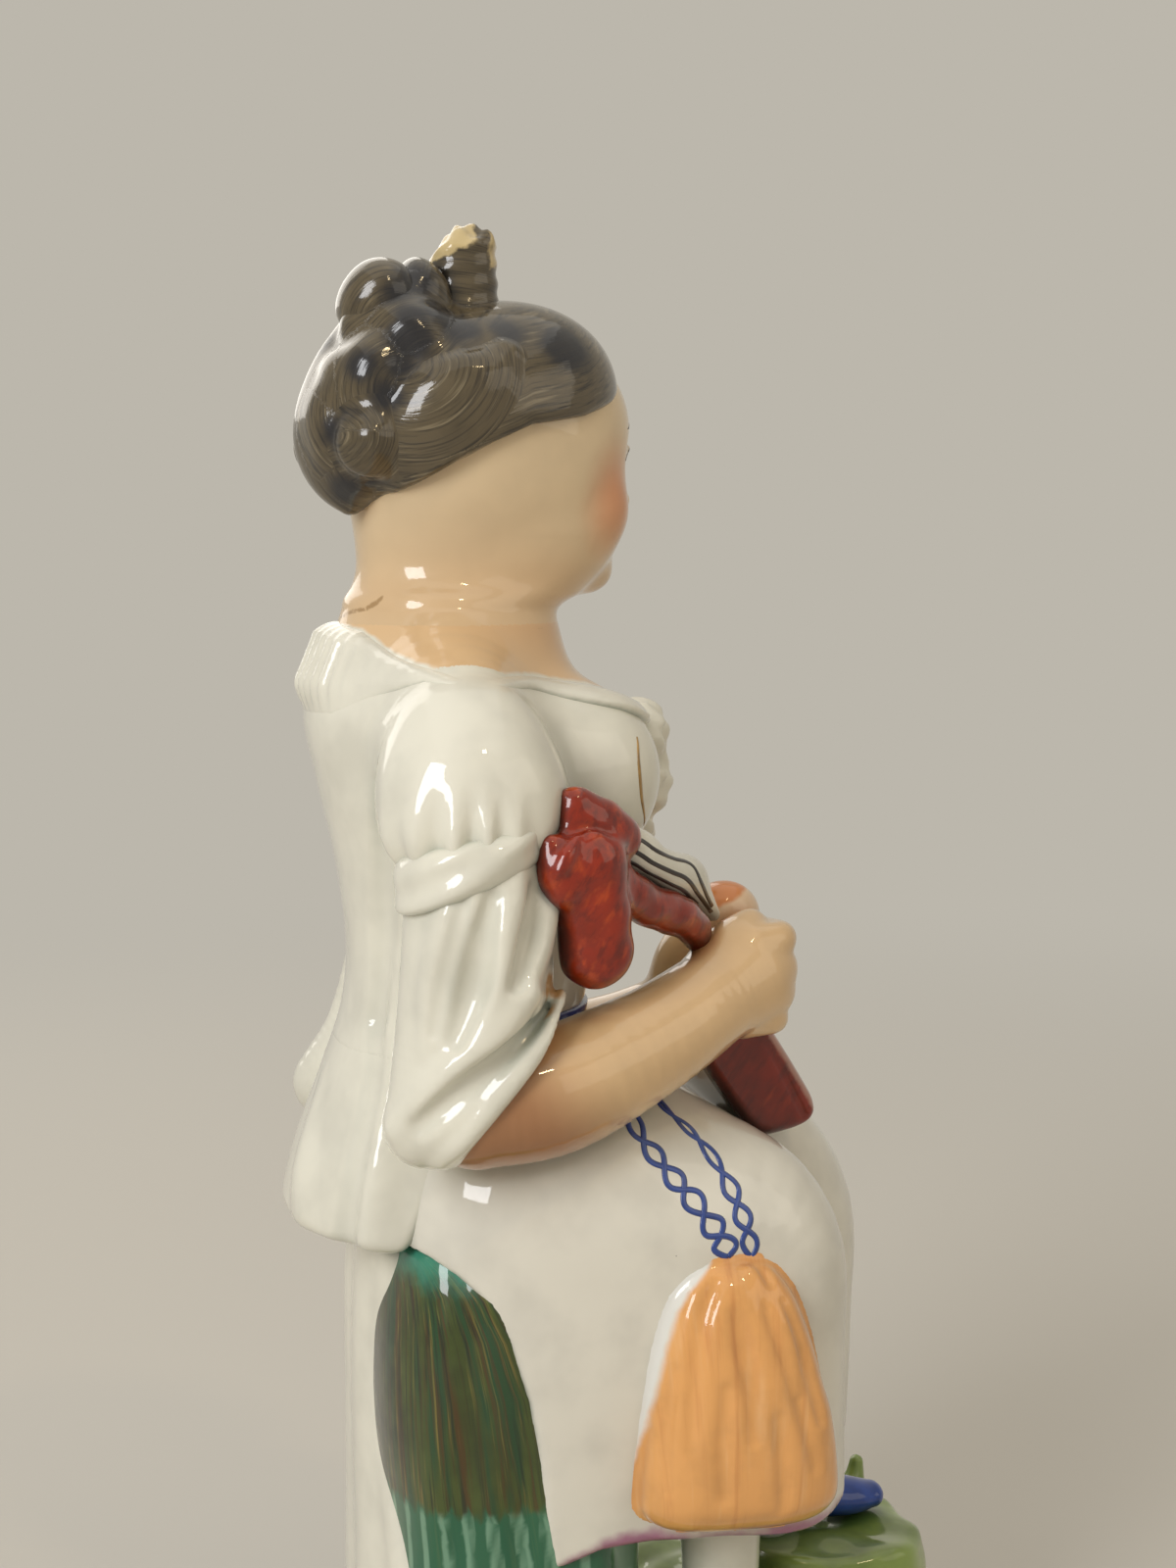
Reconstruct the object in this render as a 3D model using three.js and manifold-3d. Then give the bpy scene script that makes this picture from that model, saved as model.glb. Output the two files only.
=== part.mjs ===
// A glazed earthenware figure of a seated lady, in millimetres, +Z up.
// It faces -Y, +X is to the figure's own left, and the origin is the centre of the base's underside.
// It is built as a potter assembles it: separately pressed pieces, luted together at their seams.
import * as THREE from 'three';
import { mergeVertices } from 'three/addons/utils/BufferGeometryUtils.js';
import Module from 'manifold-3d';

const wasm = await Module();
wasm.setup();

// Clay
const CLEARANCE = 0.3; // luting gap between two pieces
const WALL = 3.6; // pressed wall
const VENT_RADIUS = 3; // firing vent through the base

// Base
const PLINTH_LENGTH = 93;
const PLINTH_WIDTH = 77;
const PLINTH_HEIGHT = 12;
const FOOT_RIM = 5;
const FOOT_RECESS = 2.5;
const FOOT_MOULDING = 2.4; // how far the moulded foot stands out from the waist of the base
const TURF_HEIGHT = 2.5;
const TURF_MARGIN = 2.2;
const FOOTREST_HEIGHT = 10.5;
const FOOTREST_WIDTH = 27;
const FOOTREST_LENGTH = 26;
const FOOTREST_LEFT = 8; // how far to the figure's left the footrest stands
const FOOTREST_FORWARD = 29;
const FOLIAGE_SIZE = 4.6;

// Seat
const SEAT_HEIGHT = 59;
const SEAT_WIDTH = 54;
const SEAT_DEPTH = 32;
const SEAT_BACK = 18.5; // how far behind the base's middle the seat stands
const DRAPE_WIDTH = 44;
const DRAPE_DEPTH = 36.5;
const DRAPE_FOLD = 0.042; // how deep its folds are, as a share of its half width

// Skirt, legs and feet
const LAP_THICKNESS = 14;
const WAIST_RISE = 7.5; // waist above the lap
const SKIRT_WIDTH = 60;
const SKIRT_LENGTH = 63.5;
const SKIRT_LEAN = -0.2; // the left knee is further forward than the right
const LAP_HOLLOW = 6; // how deep the skirt sinks between the knees
const LAP_HOLLOW_RIGHT = 2.5;
const HEM_HEIGHT = 22.5; // hem above the turf
const LEG_RADIUS = 6.2;
const LEG_SPACING = 23;
const LEGS_RIGHT = 2.5; // how far the pair of legs leans to the figure's right
const RIGHT_FOOT_FORWARD = 8.6;
const LEFT_FOOT_FORWARD = 21;
const SHOE_LENGTH = 22;
const SHOE_WIDTH = 9.6;
const SHOE_HEIGHT = 5.6;

// Torso and jacket
const TORSO_HEIGHT = 54;
const SHOULDER_WIDTH = 51;
const CHEST_DEPTH = 41;
const TORSO_BACK = 21; // how far behind the base's middle the torso stands
const BELT_HEIGHT = 4.4;
const BELT_THICKNESS = 1.8;
const BELT_END = 1.5; // the belt shows on the front only, and ends this far behind the torso's middle
const TAIL_FLARE = 4.4; // how far the jacket's tail stands off the hips
const TAIL_DROP = 21; // how far it falls below the waist
const BAND_THICKNESS = 2.3;
const RUFFLE_LENGTH = 19;
const RUFFLE_WIDTH = 11;
const RUFFLE_THICKNESS = 9.2;

// Head and hair
const HEAD_HEIGHT = 35; // chin to crown, under the hair
const HEAD_WIDTH = 29;
const HEAD_DEPTH = 34;
const HEAD_TURN = 17; // degrees, to the figure's left
const HEAD_FORWARD = 2.6; // how far the head stands in front of the torso's middle
const NECK_LENGTH = 5.5;
const NECK_WIDTH = 21;
const NECK_DEPTH = 23.5;
const CHIN_DROP = 3.5; // the chin hangs this far below the top of the neck
const NOSE_LENGTH = 7.2;
const HAIR_THICKNESS = 3;
const ROLL_SIZE = 8.6;
const COIL_SIZE = 6.2;
const BUN_SIZE = 6.8;
const KNOT_RADIUS = 4.3;
const KNOT_HEIGHT = 13.5;

// Arms
const PUFF_RADIUS = 10.6;
const PUFF_LENGTH = 15.5;
const SHOULDER_DROP = 9; // the puffs begin this far below the neck
const SLEEVE_OUT = 2.8; // how far the sleeves stand off the shoulders
const SLEEVE_BACK = 4;
const SLEEVE_BAND_RADIUS = 8.9;
const SLEEVE_BAND_HEIGHT = 4.8;
const SLEEVE_DROP = 31; // below the band
const SLEEVE_RADIUS = 9.9;
const FOREARM_RADIUS = 7.1;
const WRIST_RADIUS = 5.6;
const FIST_RADIUS = 7.3;
const ELBOW_DROP = 11; // elbow below the fists
const HAND_HEIGHT = 9.5; // fists above the waist
const HAND_REACH = 34; // fists in front of the torso's middle
const RIGHT_HAND_OUT = 13.5; // fist from the middle plane
const LEFT_HAND_OUT = 6;
const LEFT_ELBOW_BACK = 6; // the left elbow is this much further back

// What she holds
const DOLL_RIGHT = 3.4;
const DOLL_HEAD_RADIUS = 4.4;
const GOWN_WIDTH = 13;
const GOWN_THICKNESS = 7.4;
const GOWN_LENGTH = 23.5;
const SHAWL_SIZE = 6.2;
const SCARF_THICKNESS = 6.4;
const BAG_HEIGHT = 33;
const BAG_WIDTH = 24;
const BAG_THICKNESS = 9.5;
const BAG_FORWARD = 5.6;

// Heights that the pieces share
const turfZ = PLINTH_HEIGHT + CLEARANCE;
const groundZ = turfZ + TURF_HEIGHT + CLEARANCE;
const seatZ = groundZ + SEAT_HEIGHT;
const hemZ = groundZ + HEM_HEIGHT;
const lapZ = seatZ + CLEARANCE + LAP_THICKNESS;
const waistZ = lapZ + WAIST_RISE;
const torsoZ = waistZ + CLEARANCE;
const neckZ = torsoZ + TORSO_HEIGHT;
const chinZ = neckZ + NECK_LENGTH - CHIN_DROP;
const handZ = waistZ + HAND_HEIGHT;
const headY = TORSO_BACK - HEAD_FORWARD;

// Colours of the glazes
const glaze = (name, color) => {
  return new THREE.MeshStandardMaterial({ name, color, roughness: 0.12, metalness: 0 });
};
const WHITE = glaze('white_glaze', 0xe6e3d6);
const FLESH = glaze('flesh_glaze', 0xdcb48c);
const HAIR = glaze('hair_enamel', 0x5f5142);
const RED = glaze('red_enamel', 0x9c2c10);
const BLUE = glaze('blue_enamel', 0x223f96);
const ORANGE = glaze('orange_enamel', 0xd98a45);
const ROCK = glaze('rock_glaze', 0x4a5528);
const GRASS = glaze('grass_glaze', 0x4f8f62);

// The parting of a pressed oval: how square it is, from 2 for an ellipse upwards
const SOFT = 2.15;
const FULL = 2.35;
const SQUARE = 2.7;

const at = (x, y, z) => new THREE.Vector3(x, y, z);
const turning = (degrees) => new THREE.Euler(...degrees.map(THREE.MathUtils.degToRad));

// A closed mesh as a solid that can be cut and joined
function solid(geometry) {
  const bare = geometry.clone();
  bare.deleteAttribute('normal');
  bare.deleteAttribute('uv');
  const merged = mergeVertices(bare, 1e-4);
  const vertProperties = new Float32Array(merged.attributes.position.array);
  const triVerts = new Uint32Array(merged.index.array);
  const made = new wasm.Manifold(new wasm.Mesh({ numProp: 3, vertProperties, triVerts }));
  if (made.volume() > 0) return made;
  for (let i = 0; i < triVerts.length; i += 3) {
    [triVerts[i + 1], triVerts[i + 2]] = [triVerts[i + 2], triVerts[i + 1]];
  }
  return new wasm.Manifold(new wasm.Mesh({ numProp: 3, vertProperties, triVerts }));
}

const cut = (piece, ...others) => others.reduce((left, other) => left.subtract(other), piece);
const join = (piece, ...others) => others.reduce((whole, other) => whole.add(other), piece);

// The piece without the crumbs that a cut leaves loose
function largest(piece) {
  return piece.decompose().reduce((most, part) => (part.volume() > most.volume() ? part : most));
}

// A fan over one end ring
function fan(points, start, sides, flip) {
  const middle = at(0, 0, 0);
  for (let j = 0; j < sides; j++) middle.add(points[start + j]);
  points.push(middle.divideScalar(sides));
  const faces = [];
  for (let j = 0; j < sides; j++) {
    const edge = [start + j, start + ((j + 1) % sides)];
    if (flip) edge.reverse();
    faces.push(points.length - 1, ...edge);
  }
  return faces;
}

// A skin over rings of points: in a loop the last ring meets the first, otherwise the ends are closed.
function skin(rings, loop = false) {
  const sides = rings[0].length;
  const points = rings.flat();
  const faces = [];
  const bands = loop ? rings.length : rings.length - 1;
  for (let i = 0; i < bands; i++) {
    const low = i * sides;
    const high = ((i + 1) % rings.length) * sides;
    for (let j = 0; j < sides; j++) {
      const k = (j + 1) % sides;
      faces.push(low + j, low + k, high + k, low + j, high + k, high + j);
    }
  }
  if (!loop) {
    faces.push(...fan(points, 0, sides, true));
    faces.push(...fan(points, (rings.length - 1) * sides, sides, false));
  }
  const geometry = new THREE.BufferGeometry().setFromPoints(points);
  geometry.setIndex(faces);
  return geometry;
}

// One oval ring: w and d are its half width and half depth, round over 2 squares its corners,
// lean shifts its depth with its width, and ripple waves its outline as a fold does.
function ring(centre, across, deep, { w, d, round = 2, lean = 0, ripple = null }, sides) {
  const points = [];
  for (let j = 0; j < sides; j++) {
    const angle = (j / sides) * 2 * Math.PI;
    const [c, s] = [Math.cos(angle), Math.sin(angle)];
    const fold = ripple ? 1 + ripple.depth * Math.cos(ripple.count * angle) : 1;
    const u = w * fold * Math.sign(c) * Math.abs(c) ** (2 / round);
    const v = d * fold * Math.sign(s) * Math.abs(s) ** (2 / round) + lean * u;
    points.push(centre.clone().addScaledVector(across, u).addScaledVector(deep, v));
  }
  return points;
}

// The station at share t of the way, on a smooth curve through all of them
function between(stations, t) {
  const read = (key) => {
    const values = stations.map((station, i) => new THREE.Vector2(i, station[key] ?? 0));
    return new THREE.SplineCurve(values).getPoint(t).y;
  };
  const { round, ripple } = stations[0];
  const place = at(read('x'), read('y'), read('z'));
  return { round, ripple, at: place, w: read('w'), d: read('d'), lean: read('lean') };
}

// A stack of level ovals, from the lowest station to the highest
function stack(stations, { sides = 26, steps = 8, grow = 0 } = {}) {
  const rings = [];
  for (let i = 0; i <= steps; i++) {
    const s = between(stations, i / steps);
    if (i === 0) s.at.z -= grow;
    if (i === steps) s.at.z += grow;
    rings.push(ring(s.at, at(1, 0, 0), at(0, 1, 0), { ...s, w: s.w + grow, d: s.d + grow }, sides));
  }
  return solid(skin(rings));
}

// A limb: ovals square to a curved line, with their width as level as the line allows
function limb(stations, { sides = 16, steps = 8, grow = 0 } = {}) {
  const rings = [];
  for (let i = 0; i <= steps; i++) {
    const t = i / steps;
    const s = between(stations, t);
    const behind = between(stations, Math.max(0, t - 0.01)).at;
    const along = between(stations, Math.min(1, t + 0.01)).at.sub(behind).normalize();
    const across = at(1, 0, 0).addScaledVector(along, -along.x).normalize();
    const deep = along.clone().cross(across);
    if (i === 0) s.at.addScaledVector(along, -grow);
    if (i === steps) s.at.addScaledVector(along, grow);
    rings.push(ring(s.at, across, deep, { ...s, w: s.w + grow, d: s.d + grow }, sides));
  }
  return solid(skin(rings));
}

// An oval lump, turned by degrees about X, Y and Z
function lump(centre, [rx, ry, rz], { turn = [0, 0, 0], grow = 0, sides = 14 } = {}) {
  const geometry = new THREE.SphereGeometry(1, sides, sides / 2);
  geometry.scale(rx + grow, ry + grow, rz + grow);
  geometry.applyQuaternion(new THREE.Quaternion().setFromEuler(turning(turn)));
  geometry.translate(...centre);
  return solid(geometry);
}

// A turned piece about an upright line, from its outline of [radius, height] points
function turned(outline, centre, { tilt = [0, 0, 0], sides = 20 } = {}) {
  const geometry = new THREE.LatheGeometry(outline.map(([r, h]) => new THREE.Vector2(r, h)), sides);
  geometry.rotateX(Math.PI / 2);
  geometry.applyQuaternion(new THREE.Quaternion().setFromEuler(turning(tilt)));
  geometry.translate(...centre);
  return solid(geometry);
}

// Everything on the far side of a plane through a point
function beyond(point, normal) {
  const size = 3 * (PLINTH_LENGTH + TORSO_HEIGHT);
  const block = new THREE.BoxGeometry(size, size, size);
  block.translate(0, 0, size / 2);
  block.applyQuaternion(new THREE.Quaternion().setFromUnitVectors(at(0, 0, 1), normal.clone().normalize()));
  block.translate(point.x, point.y, point.z);
  return solid(block);
}

// The same solid turned about the head's own upright line
function withHeadTurn(piece) {
  return piece.translate([0, -headY, 0]).rotate([0, 0, HEAD_TURN]).translate([0, headY, 0]);
}

// Base

function plinth() {
  const [w, d] = [PLINTH_WIDTH / 2, PLINTH_LENGTH / 2];
  const level = (share, inset) => {
    const back = FOOT_MOULDING * inset;
    return { z: PLINTH_HEIGHT * share, w: w - back, d: d - back, round: FULL };
  };
  const foot = [level(0, 0.5), level(0.15, 0), level(0.35, 0)];
  const outside = [...foot, level(0.48, 0.85), level(0.72, 1), level(0.86, 0.6), level(1, 0.75)];
  const inner = { w: w - FOOT_RIM, d: d - FOOT_RIM, round: FULL };
  const recess = [{ ...inner, z: -FOOT_RIM }, { ...inner, z: FOOT_RECESS }];
  return cut(stack(outside, { sides: 36, steps: 6 }), stack(recess, { sides: 36, steps: 1 }));
}

function turf() {
  const [w, d] = [PLINTH_WIDTH / 2 - TURF_MARGIN, PLINTH_LENGTH / 2 - TURF_MARGIN];
  const level = (share, inset) => {
    const shrink = TURF_HEIGHT * inset;
    return { z: turfZ + TURF_HEIGHT * share, w: w - shrink, d: d - shrink, round: FULL };
  };
  return stack([level(0, 0), level(0.5, 0.08), level(1, 0.55)], { sides: 32, steps: 2 });
}

function footrest(grow = 0) {
  const [w, d] = [FOOTREST_WIDTH / 2, FOOTREST_LENGTH / 2];
  const level = (share, scale) => ({
    x: FOOTREST_LEFT,
    y: -FOOTREST_FORWARD,
    z: groundZ + FOOTREST_HEIGHT * share,
    w: w * scale,
    d: d * scale,
    round: SQUARE,
  });
  const outside = [level(0, 1), level(0.45, 1.02), level(0.85, 0.97), level(1, 0.9)];
  return stack(outside, { sides: 20, steps: 5, grow });
}

function foliage() {
  const s = FOLIAGE_SIZE;
  const x = FOOTREST_LEFT + FOOTREST_WIDTH / 2 + s * 0.35;
  const leaf = (out, back, up) => {
    const centre = [x + out * s, -FOOTREST_FORWARD + back * s, groundZ + up * s];
    return lump(centre, [s, s * 1.1, s * 0.95], { sides: 10 });
  };
  const tuft = join(leaf(0, -0.4, 0.7), leaf(0.3, -1.1, 1.7), leaf(-0.15, 0.3, 1.5), leaf(0.1, -0.5, 2.3));
  return cut(tuft, beyond(at(0, 0, groundZ), at(0, 0, -1)), footrest(CLEARANCE));
}

// Legs and shoes: the right foot is on the turf and the left one on the footrest

const feet = {
  right: { x: -LEG_SPACING / 2 - LEGS_RIGHT, y: -RIGHT_FOOT_FORWARD, floor: groundZ, turnOut: -1 },
  left: {
    x: LEG_SPACING / 2 - LEGS_RIGHT,
    y: -LEFT_FOOT_FORWARD,
    floor: groundZ + FOOTREST_HEIGHT + CLEARANCE,
    turnOut: 1,
  },
};

function leg({ x, y, floor }, grow = 0) {
  const low = floor + SHOE_HEIGHT / 2;
  const high = hemZ - CLEARANCE;
  const level = (share, scale) => {
    return { x, y, z: low + (high - low) * share, w: LEG_RADIUS * scale, d: LEG_RADIUS * scale };
  };
  return stack([level(0, 0.84), level(0.45, 0.9), level(1, 1.05)], { sides: 18, steps: 4, grow });
}

function shoe(foot) {
  const heel = foot.y + SHOE_LENGTH * 0.3;
  const [w, h] = [SHOE_WIDTH / 2, SHOE_HEIGHT / 2];
  const step = (share, wide, high) => ({
    x: foot.x + (foot.turnOut * SHOE_WIDTH * share) / 6,
    y: heel - SHOE_LENGTH * 1.08 * share,
    z: foot.floor + h * high,
    w: w * wide,
    d: h * high,
    round: SOFT,
  });
  const back = [step(0, 0.5, 0.6), step(0.12, 0.85, 1), step(0.4, 0.95, 1.05)];
  const front = [step(0.75, 1, 0.8), step(1, 0.4, 0.45)];
  const sole = beyond(at(0, 0, foot.floor), at(0, 0, -1));
  return cut(limb([...back, ...front], { sides: 12, steps: 6 }), sole, leg(foot, CLEARANCE));
}

// Seat, skirt and drape

function seatRock(grow = 0) {
  const [w, d] = [SEAT_WIDTH / 2, SEAT_DEPTH / 2];
  const level = (share, wide, deep, back) => ({
    z: groundZ + SEAT_HEIGHT * share,
    y: SEAT_BACK + d * back,
    w: w * wide,
    d: d * deep,
    round: SQUARE,
  });
  const outside = [
    level(0, 1.1, 1.08, 0),
    level(0.25, 1.03, 1, 0),
    level(0.5, 1, 0.99, 0.025),
    level(0.75, 0.99, 0.98, 0.05),
    level(1, 0.82, 0.86, 0.12),
  ];
  return stack(outside, { grow, steps: 6 });
}

function skirtStations(inset = 0) {
  const [w, d] = [SKIRT_WIDTH / 2 - inset, SKIRT_LENGTH / 2 - inset];
  const level = (z, forward, wide, deep, lean) => {
    return { z, y: -SKIRT_LENGTH * forward, w: w * wide, d: d * deep, lean: SKIRT_LEAN * lean, round: FULL };
  };
  const below = (share) => hemZ + (seatZ - hemZ) * share;
  const above = (share) => seatZ + (waistZ - seatZ) * share;
  return [
    level(below(0), 0.03, 0.97, 0.92, 1),
    level(below(0.33), 0.015, 0.98, 0.94, 1),
    level(below(0.66), -0.01, 1, 0.97, 1),
    level(below(0.94), -0.04, 1, 1.01, 1),
    level(above(0.27), -0.08, 0.97, 0.96, 0.8),
    level(above(0.5), -0.135, 0.92, 0.83, 0.6),
    level(above(0.68), -0.205, 0.85, 0.66, 0.3),
    level(above(0.84), -0.29, 0.73, 0.5, 0),
    level(above(1), -0.33, 0.6, 0.43, 0),
  ];
}

// The furrow that the skirt sinks into between the knees, from the hem up and back over the lap
function lapFurrow(grow = 0) {
  const level = (z, forward, depth) => ({
    x: -LAP_HOLLOW_RIGHT,
    y: -SKIRT_LENGTH * forward - 1,
    z,
    w: LAP_HOLLOW * 1.9,
    d: LAP_HOLLOW * depth + 1,
    round: 1.25,
  });
  const front = [level(hemZ - 2 * WALL, 0.485, 0.8), level(hemZ + HEM_HEIGHT * 0.6, 0.48, 1)];
  const knees = [level(seatZ - WALL, 0.465, 1), level(seatZ + LAP_THICKNESS * 0.5, 0.375, 0.75)];
  const lap = [level(seatZ + LAP_THICKNESS, 0.12, 0.4), level(waistZ, -0.04, 0.15)];
  return limb([...front, ...knees, ...lap], { sides: 12, steps: 7, grow });
}

function skirtOutside(grow = 0) {
  return cut(stack(skirtStations(), { sides: 26, steps: 9, grow }), lapFurrow(-grow));
}

// The space under the lap, with the seat's front as its back wall and a closed underside
function skirtHollow() {
  const above = beyond(at(0, 0, seatZ + CLEARANCE), at(0, 0, 1));
  const below = beyond(at(0, 0, hemZ + WALL), at(0, 0, -1));
  return cut(stack(skirtStations(WALL), { sides: 18, steps: 7 }), above, below, lapFurrow(WALL));
}

// The hollow that the clay was pressed around: a vent through the base, the seat, the waist, the chest,
// the neck and the head
function pressedHollow() {
  const ventHeight = groundZ + 3 * WALL;
  const vent = new THREE.CylinderGeometry(VENT_RADIUS, VENT_RADIUS, ventHeight, 24);
  vent.rotateX(Math.PI / 2);
  vent.translate(0, SEAT_BACK, ventHeight / 2 - WALL);
  const [seatW, seatD] = [SEAT_WIDTH / 2, SEAT_DEPTH / 2];
  const [bodyW, bodyD] = [SHOULDER_WIDTH * 0.36, CHEST_DEPTH * 0.36];
  const [neckW, neckD] = [NECK_WIDTH / 2, NECK_DEPTH / 2];
  const [headW, headD] = [HEAD_WIDTH / 2, HEAD_DEPTH / 2];
  const neckY = headY + headD * 0.33;
  const level = (z, y, w, d, wall = WALL) => ({ z, y, w: w - wall, d: d - wall });
  const inside = [
    level(groundZ + WALL, SEAT_BACK, seatW, seatD, WALL * 1.4),
    level(groundZ + SEAT_HEIGHT * 0.45, SEAT_BACK, seatW, seatD, WALL * 1.1),
    level(seatZ - 2 * WALL, SEAT_BACK, seatW, seatD, WALL * 1.8),
    level(waistZ - WALL, TORSO_BACK, bodyW, bodyD, WALL * 1.4),
    level(torsoZ + TORSO_HEIGHT * 0.45, TORSO_BACK, bodyW, bodyD * 1.1),
    level(torsoZ + TORSO_HEIGHT * 0.7, TORSO_BACK, bodyW * 1.05, bodyD * 1.1),
    level(neckZ, neckY, neckW * 0.95, neckD * 0.9),
    level(chinZ + HEAD_HEIGHT * 0.5, headY, headW, headD, WALL * 1.3),
    level(chinZ + HEAD_HEIGHT - 2 * WALL, headY, WALL * 2, WALL * 2),
  ];
  return join(solid(vent), stack(inside, { sides: 14, steps: 12 }));
}

function backDrape() {
  const [w, d] = [DRAPE_WIDTH / 2, DRAPE_DEPTH / 2];
  const level = (share, wide, back) => ({
    z: groundZ + (SEAT_HEIGHT - WALL) * share,
    y: SEAT_BACK + d * back,
    w: w * wide,
    d,
    round: SQUARE,
    ripple: { count: 9, depth: DRAPE_FOLD },
  });
  const cloth = [
    level(0, 1.08, 0.09),
    level(0.3, 0.95, 0.045),
    level(0.6, 0.76, 0.045),
    level(0.8, 0.78, 0.045),
    level(1, 0.96, 0.035),
  ];
  return cut(stack(cloth, { sides: 30, steps: 5 }), beyond(at(0, SEAT_BACK, seatZ / 2), at(0, -1, 0)));
}

// Torso and jacket

function torsoOutside(grow = 0) {
  const [w, d] = [SHOULDER_WIDTH / 2, CHEST_DEPTH / 2];
  const level = (share, back, wide, deep) => ({
    z: torsoZ + TORSO_HEIGHT * share,
    y: TORSO_BACK + d * back,
    w: w * wide,
    d: d * deep,
    round: SOFT,
  });
  const outside = [
    level(0, 0.03, 0.7, 0.7),
    level(0.16, 0.06, 0.68, 0.68),
    level(0.42, -0.03, 0.84, 0.88),
    level(0.64, -0.08, 0.96, 0.99),
    level(0.82, 0.07, 1, 0.96),
    level(0.93, 0.155, 0.72, 0.7),
    level(1, 0.175, 0.44, 0.6),
  ];
  return stack(outside, { sides: 24, steps: 8, grow });
}

function belt(grow = 0) {
  const [w, d] = [SHOULDER_WIDTH * 0.34, CHEST_DEPTH * 0.34];
  const middle = torsoZ + BELT_HEIGHT * 1.5;
  const level = (share, thick) => ({
    z: middle + BELT_HEIGHT * (share - 0.5),
    y: TORSO_BACK + d * 0.08,
    w: w + BELT_THICKNESS * thick,
    d: d + BELT_THICKNESS * thick,
    round: SOFT,
  });
  const hoop = stack([level(0, 0.75), level(0.5, 1), level(1, 0.75)], { steps: 2, grow });
  return cut(hoop, torsoOutside(CLEARANCE), beyond(at(0, TORSO_BACK + BELT_END, middle), at(0, 1, 0)));
}

function jacketTail() {
  const bottom = waistZ - TAIL_DROP;
  const height = TAIL_DROP + TORSO_HEIGHT * 0.3;
  const [w, d] = [SHOULDER_WIDTH / 2, CHEST_DEPTH / 2];
  const level = (share, wide, deep, flare) => ({
    z: bottom + height * share,
    y: TORSO_BACK + d * 0.05,
    w: w * wide + TAIL_FLARE * flare,
    d: d * deep + TAIL_FLARE * flare,
    round: SOFT,
    ripple: { count: 7, depth: 0.03 },
  });
  const cloth = [
    level(0, 0.78, 0.8, 1.2),
    level(0.08, 0.82, 0.86, 1.15),
    level(0.35, 0.8, 0.8, 0.8),
    level(0.65, 0.72, 0.72, 0.45),
    level(1, 0.76, 0.74, 0.18),
  ];
  const front = beyond(at(0, TORSO_BACK + d * 0.63, bottom), at(0, -1, -0.22));
  const whole = stack(cloth, { sides: 36, steps: 6 });
  return cut(whole, front, skirtOutside(CLEARANCE), torsoOutside(CLEARANCE));
}

// The gathered band round the neckline, high behind and low in front
function necklineBand(grow = 0) {
  const [w, d] = [SHOULDER_WIDTH / 2, CHEST_DEPTH / 2];
  const point = (wide, deep, down, thick) => {
    return { at: at(w * wide, TORSO_BACK + d * deep, neckZ - TORSO_HEIGHT * down), thick };
  };
  const rightSide = [point(-0.7, 0.75, 0.14, 1.2), point(-0.96, 0.15, 0.175, 1)];
  rightSide.push(point(-0.72, -0.66, 0.27, 0.9));
  const leftSide = rightSide.map(({ at: { x, y, z }, thick }) => ({ at: at(-x, y, z), thick })).reverse();
  const loop = [point(0, 0.95, 0.157, 1.25), ...rightSide, point(0, -1.03, 0.333, 0.8), ...leftSide];
  const path = new THREE.CatmullRomCurve3(loop.map((p) => p.at), true);
  const girth = new THREE.CatmullRomCurve3(loop.map((p) => at(p.thick, 0, 0)), true);
  const rings = [];
  const steps = 28;
  for (let i = 0; i < steps; i++) {
    const along = path.getTangent(i / steps);
    const across = at(0, 0, 1).addScaledVector(along, -along.z).normalize();
    const size = BAND_THICKNESS * girth.getPoint(i / steps).x;
    const section = { w: size * 1.25 + grow, d: size + grow };
    rings.push(ring(path.getPoint(i / steps), across, along.clone().cross(across), section, 8));
  }
  return solid(skin(rings, true));
}

function ruffle() {
  const bottom = neckZ - TORSO_HEIGHT * 0.36 - RUFFLE_LENGTH;
  const level = (share, wide, deep) => ({
    z: bottom + RUFFLE_LENGTH * share,
    x: RUFFLE_WIDTH * 0.1,
    y: TORSO_BACK - CHEST_DEPTH * 0.52,
    w: (RUFFLE_WIDTH / 2) * wide,
    d: (RUFFLE_THICKNESS / 2) * deep,
    ripple: { count: 6, depth: 0.06 },
  });
  const tip = [level(0, 0.4, 0.55), level(0.26, 0.7, 0.8)];
  const gathers = [level(0.63, 0.9, 1.05), level(0.9, 1, 1), level(1, 0.9, 0.8)];
  return stack([...tip, ...gathers], { sides: 24, steps: 6 });
}

// Head and hair, turned together to the left

function headOutside(grow = 0) {
  const [w, d] = [HEAD_WIDTH / 2, HEAD_DEPTH / 2];
  const level = (share, back, wide, deep) => {
    return { z: chinZ + HEAD_HEIGHT * share, y: headY + d * back, w: w * wide, d: d * deep };
  };
  const neck = { z: neckZ + CLEARANCE, y: headY + d * 0.33, w: NECK_WIDTH / 2, d: NECK_DEPTH / 2 };
  const outside = [
    neck,
    level(-0.01, 0.27, 0.7, 0.74),
    level(0.06, 0.09, 0.76, 0.9),
    level(0.2, 0.02, 0.92, 1),
    level(0.45, 0, 1, 1),
    level(0.7, 0.02, 1, 0.98),
    level(0.88, 0.07, 0.78, 0.78),
    level(0.97, 0.09, 0.45, 0.45),
    level(1, 0.09, 0.12, 0.12),
  ];
  return withHeadTurn(stack(outside, { sides: 20, steps: 12, grow }));
}

function head() {
  const s = NOSE_LENGTH / 2;
  const tip = [0, headY - HEAD_DEPTH / 2, chinZ + HEAD_HEIGHT * 0.42];
  const nose = lump(tip, [s * 0.47, s * 0.67, s], { turn: [-14, 0, 0], sides: 12 });
  return join(headOutside(), withHeadTurn(nose));
}

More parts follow.
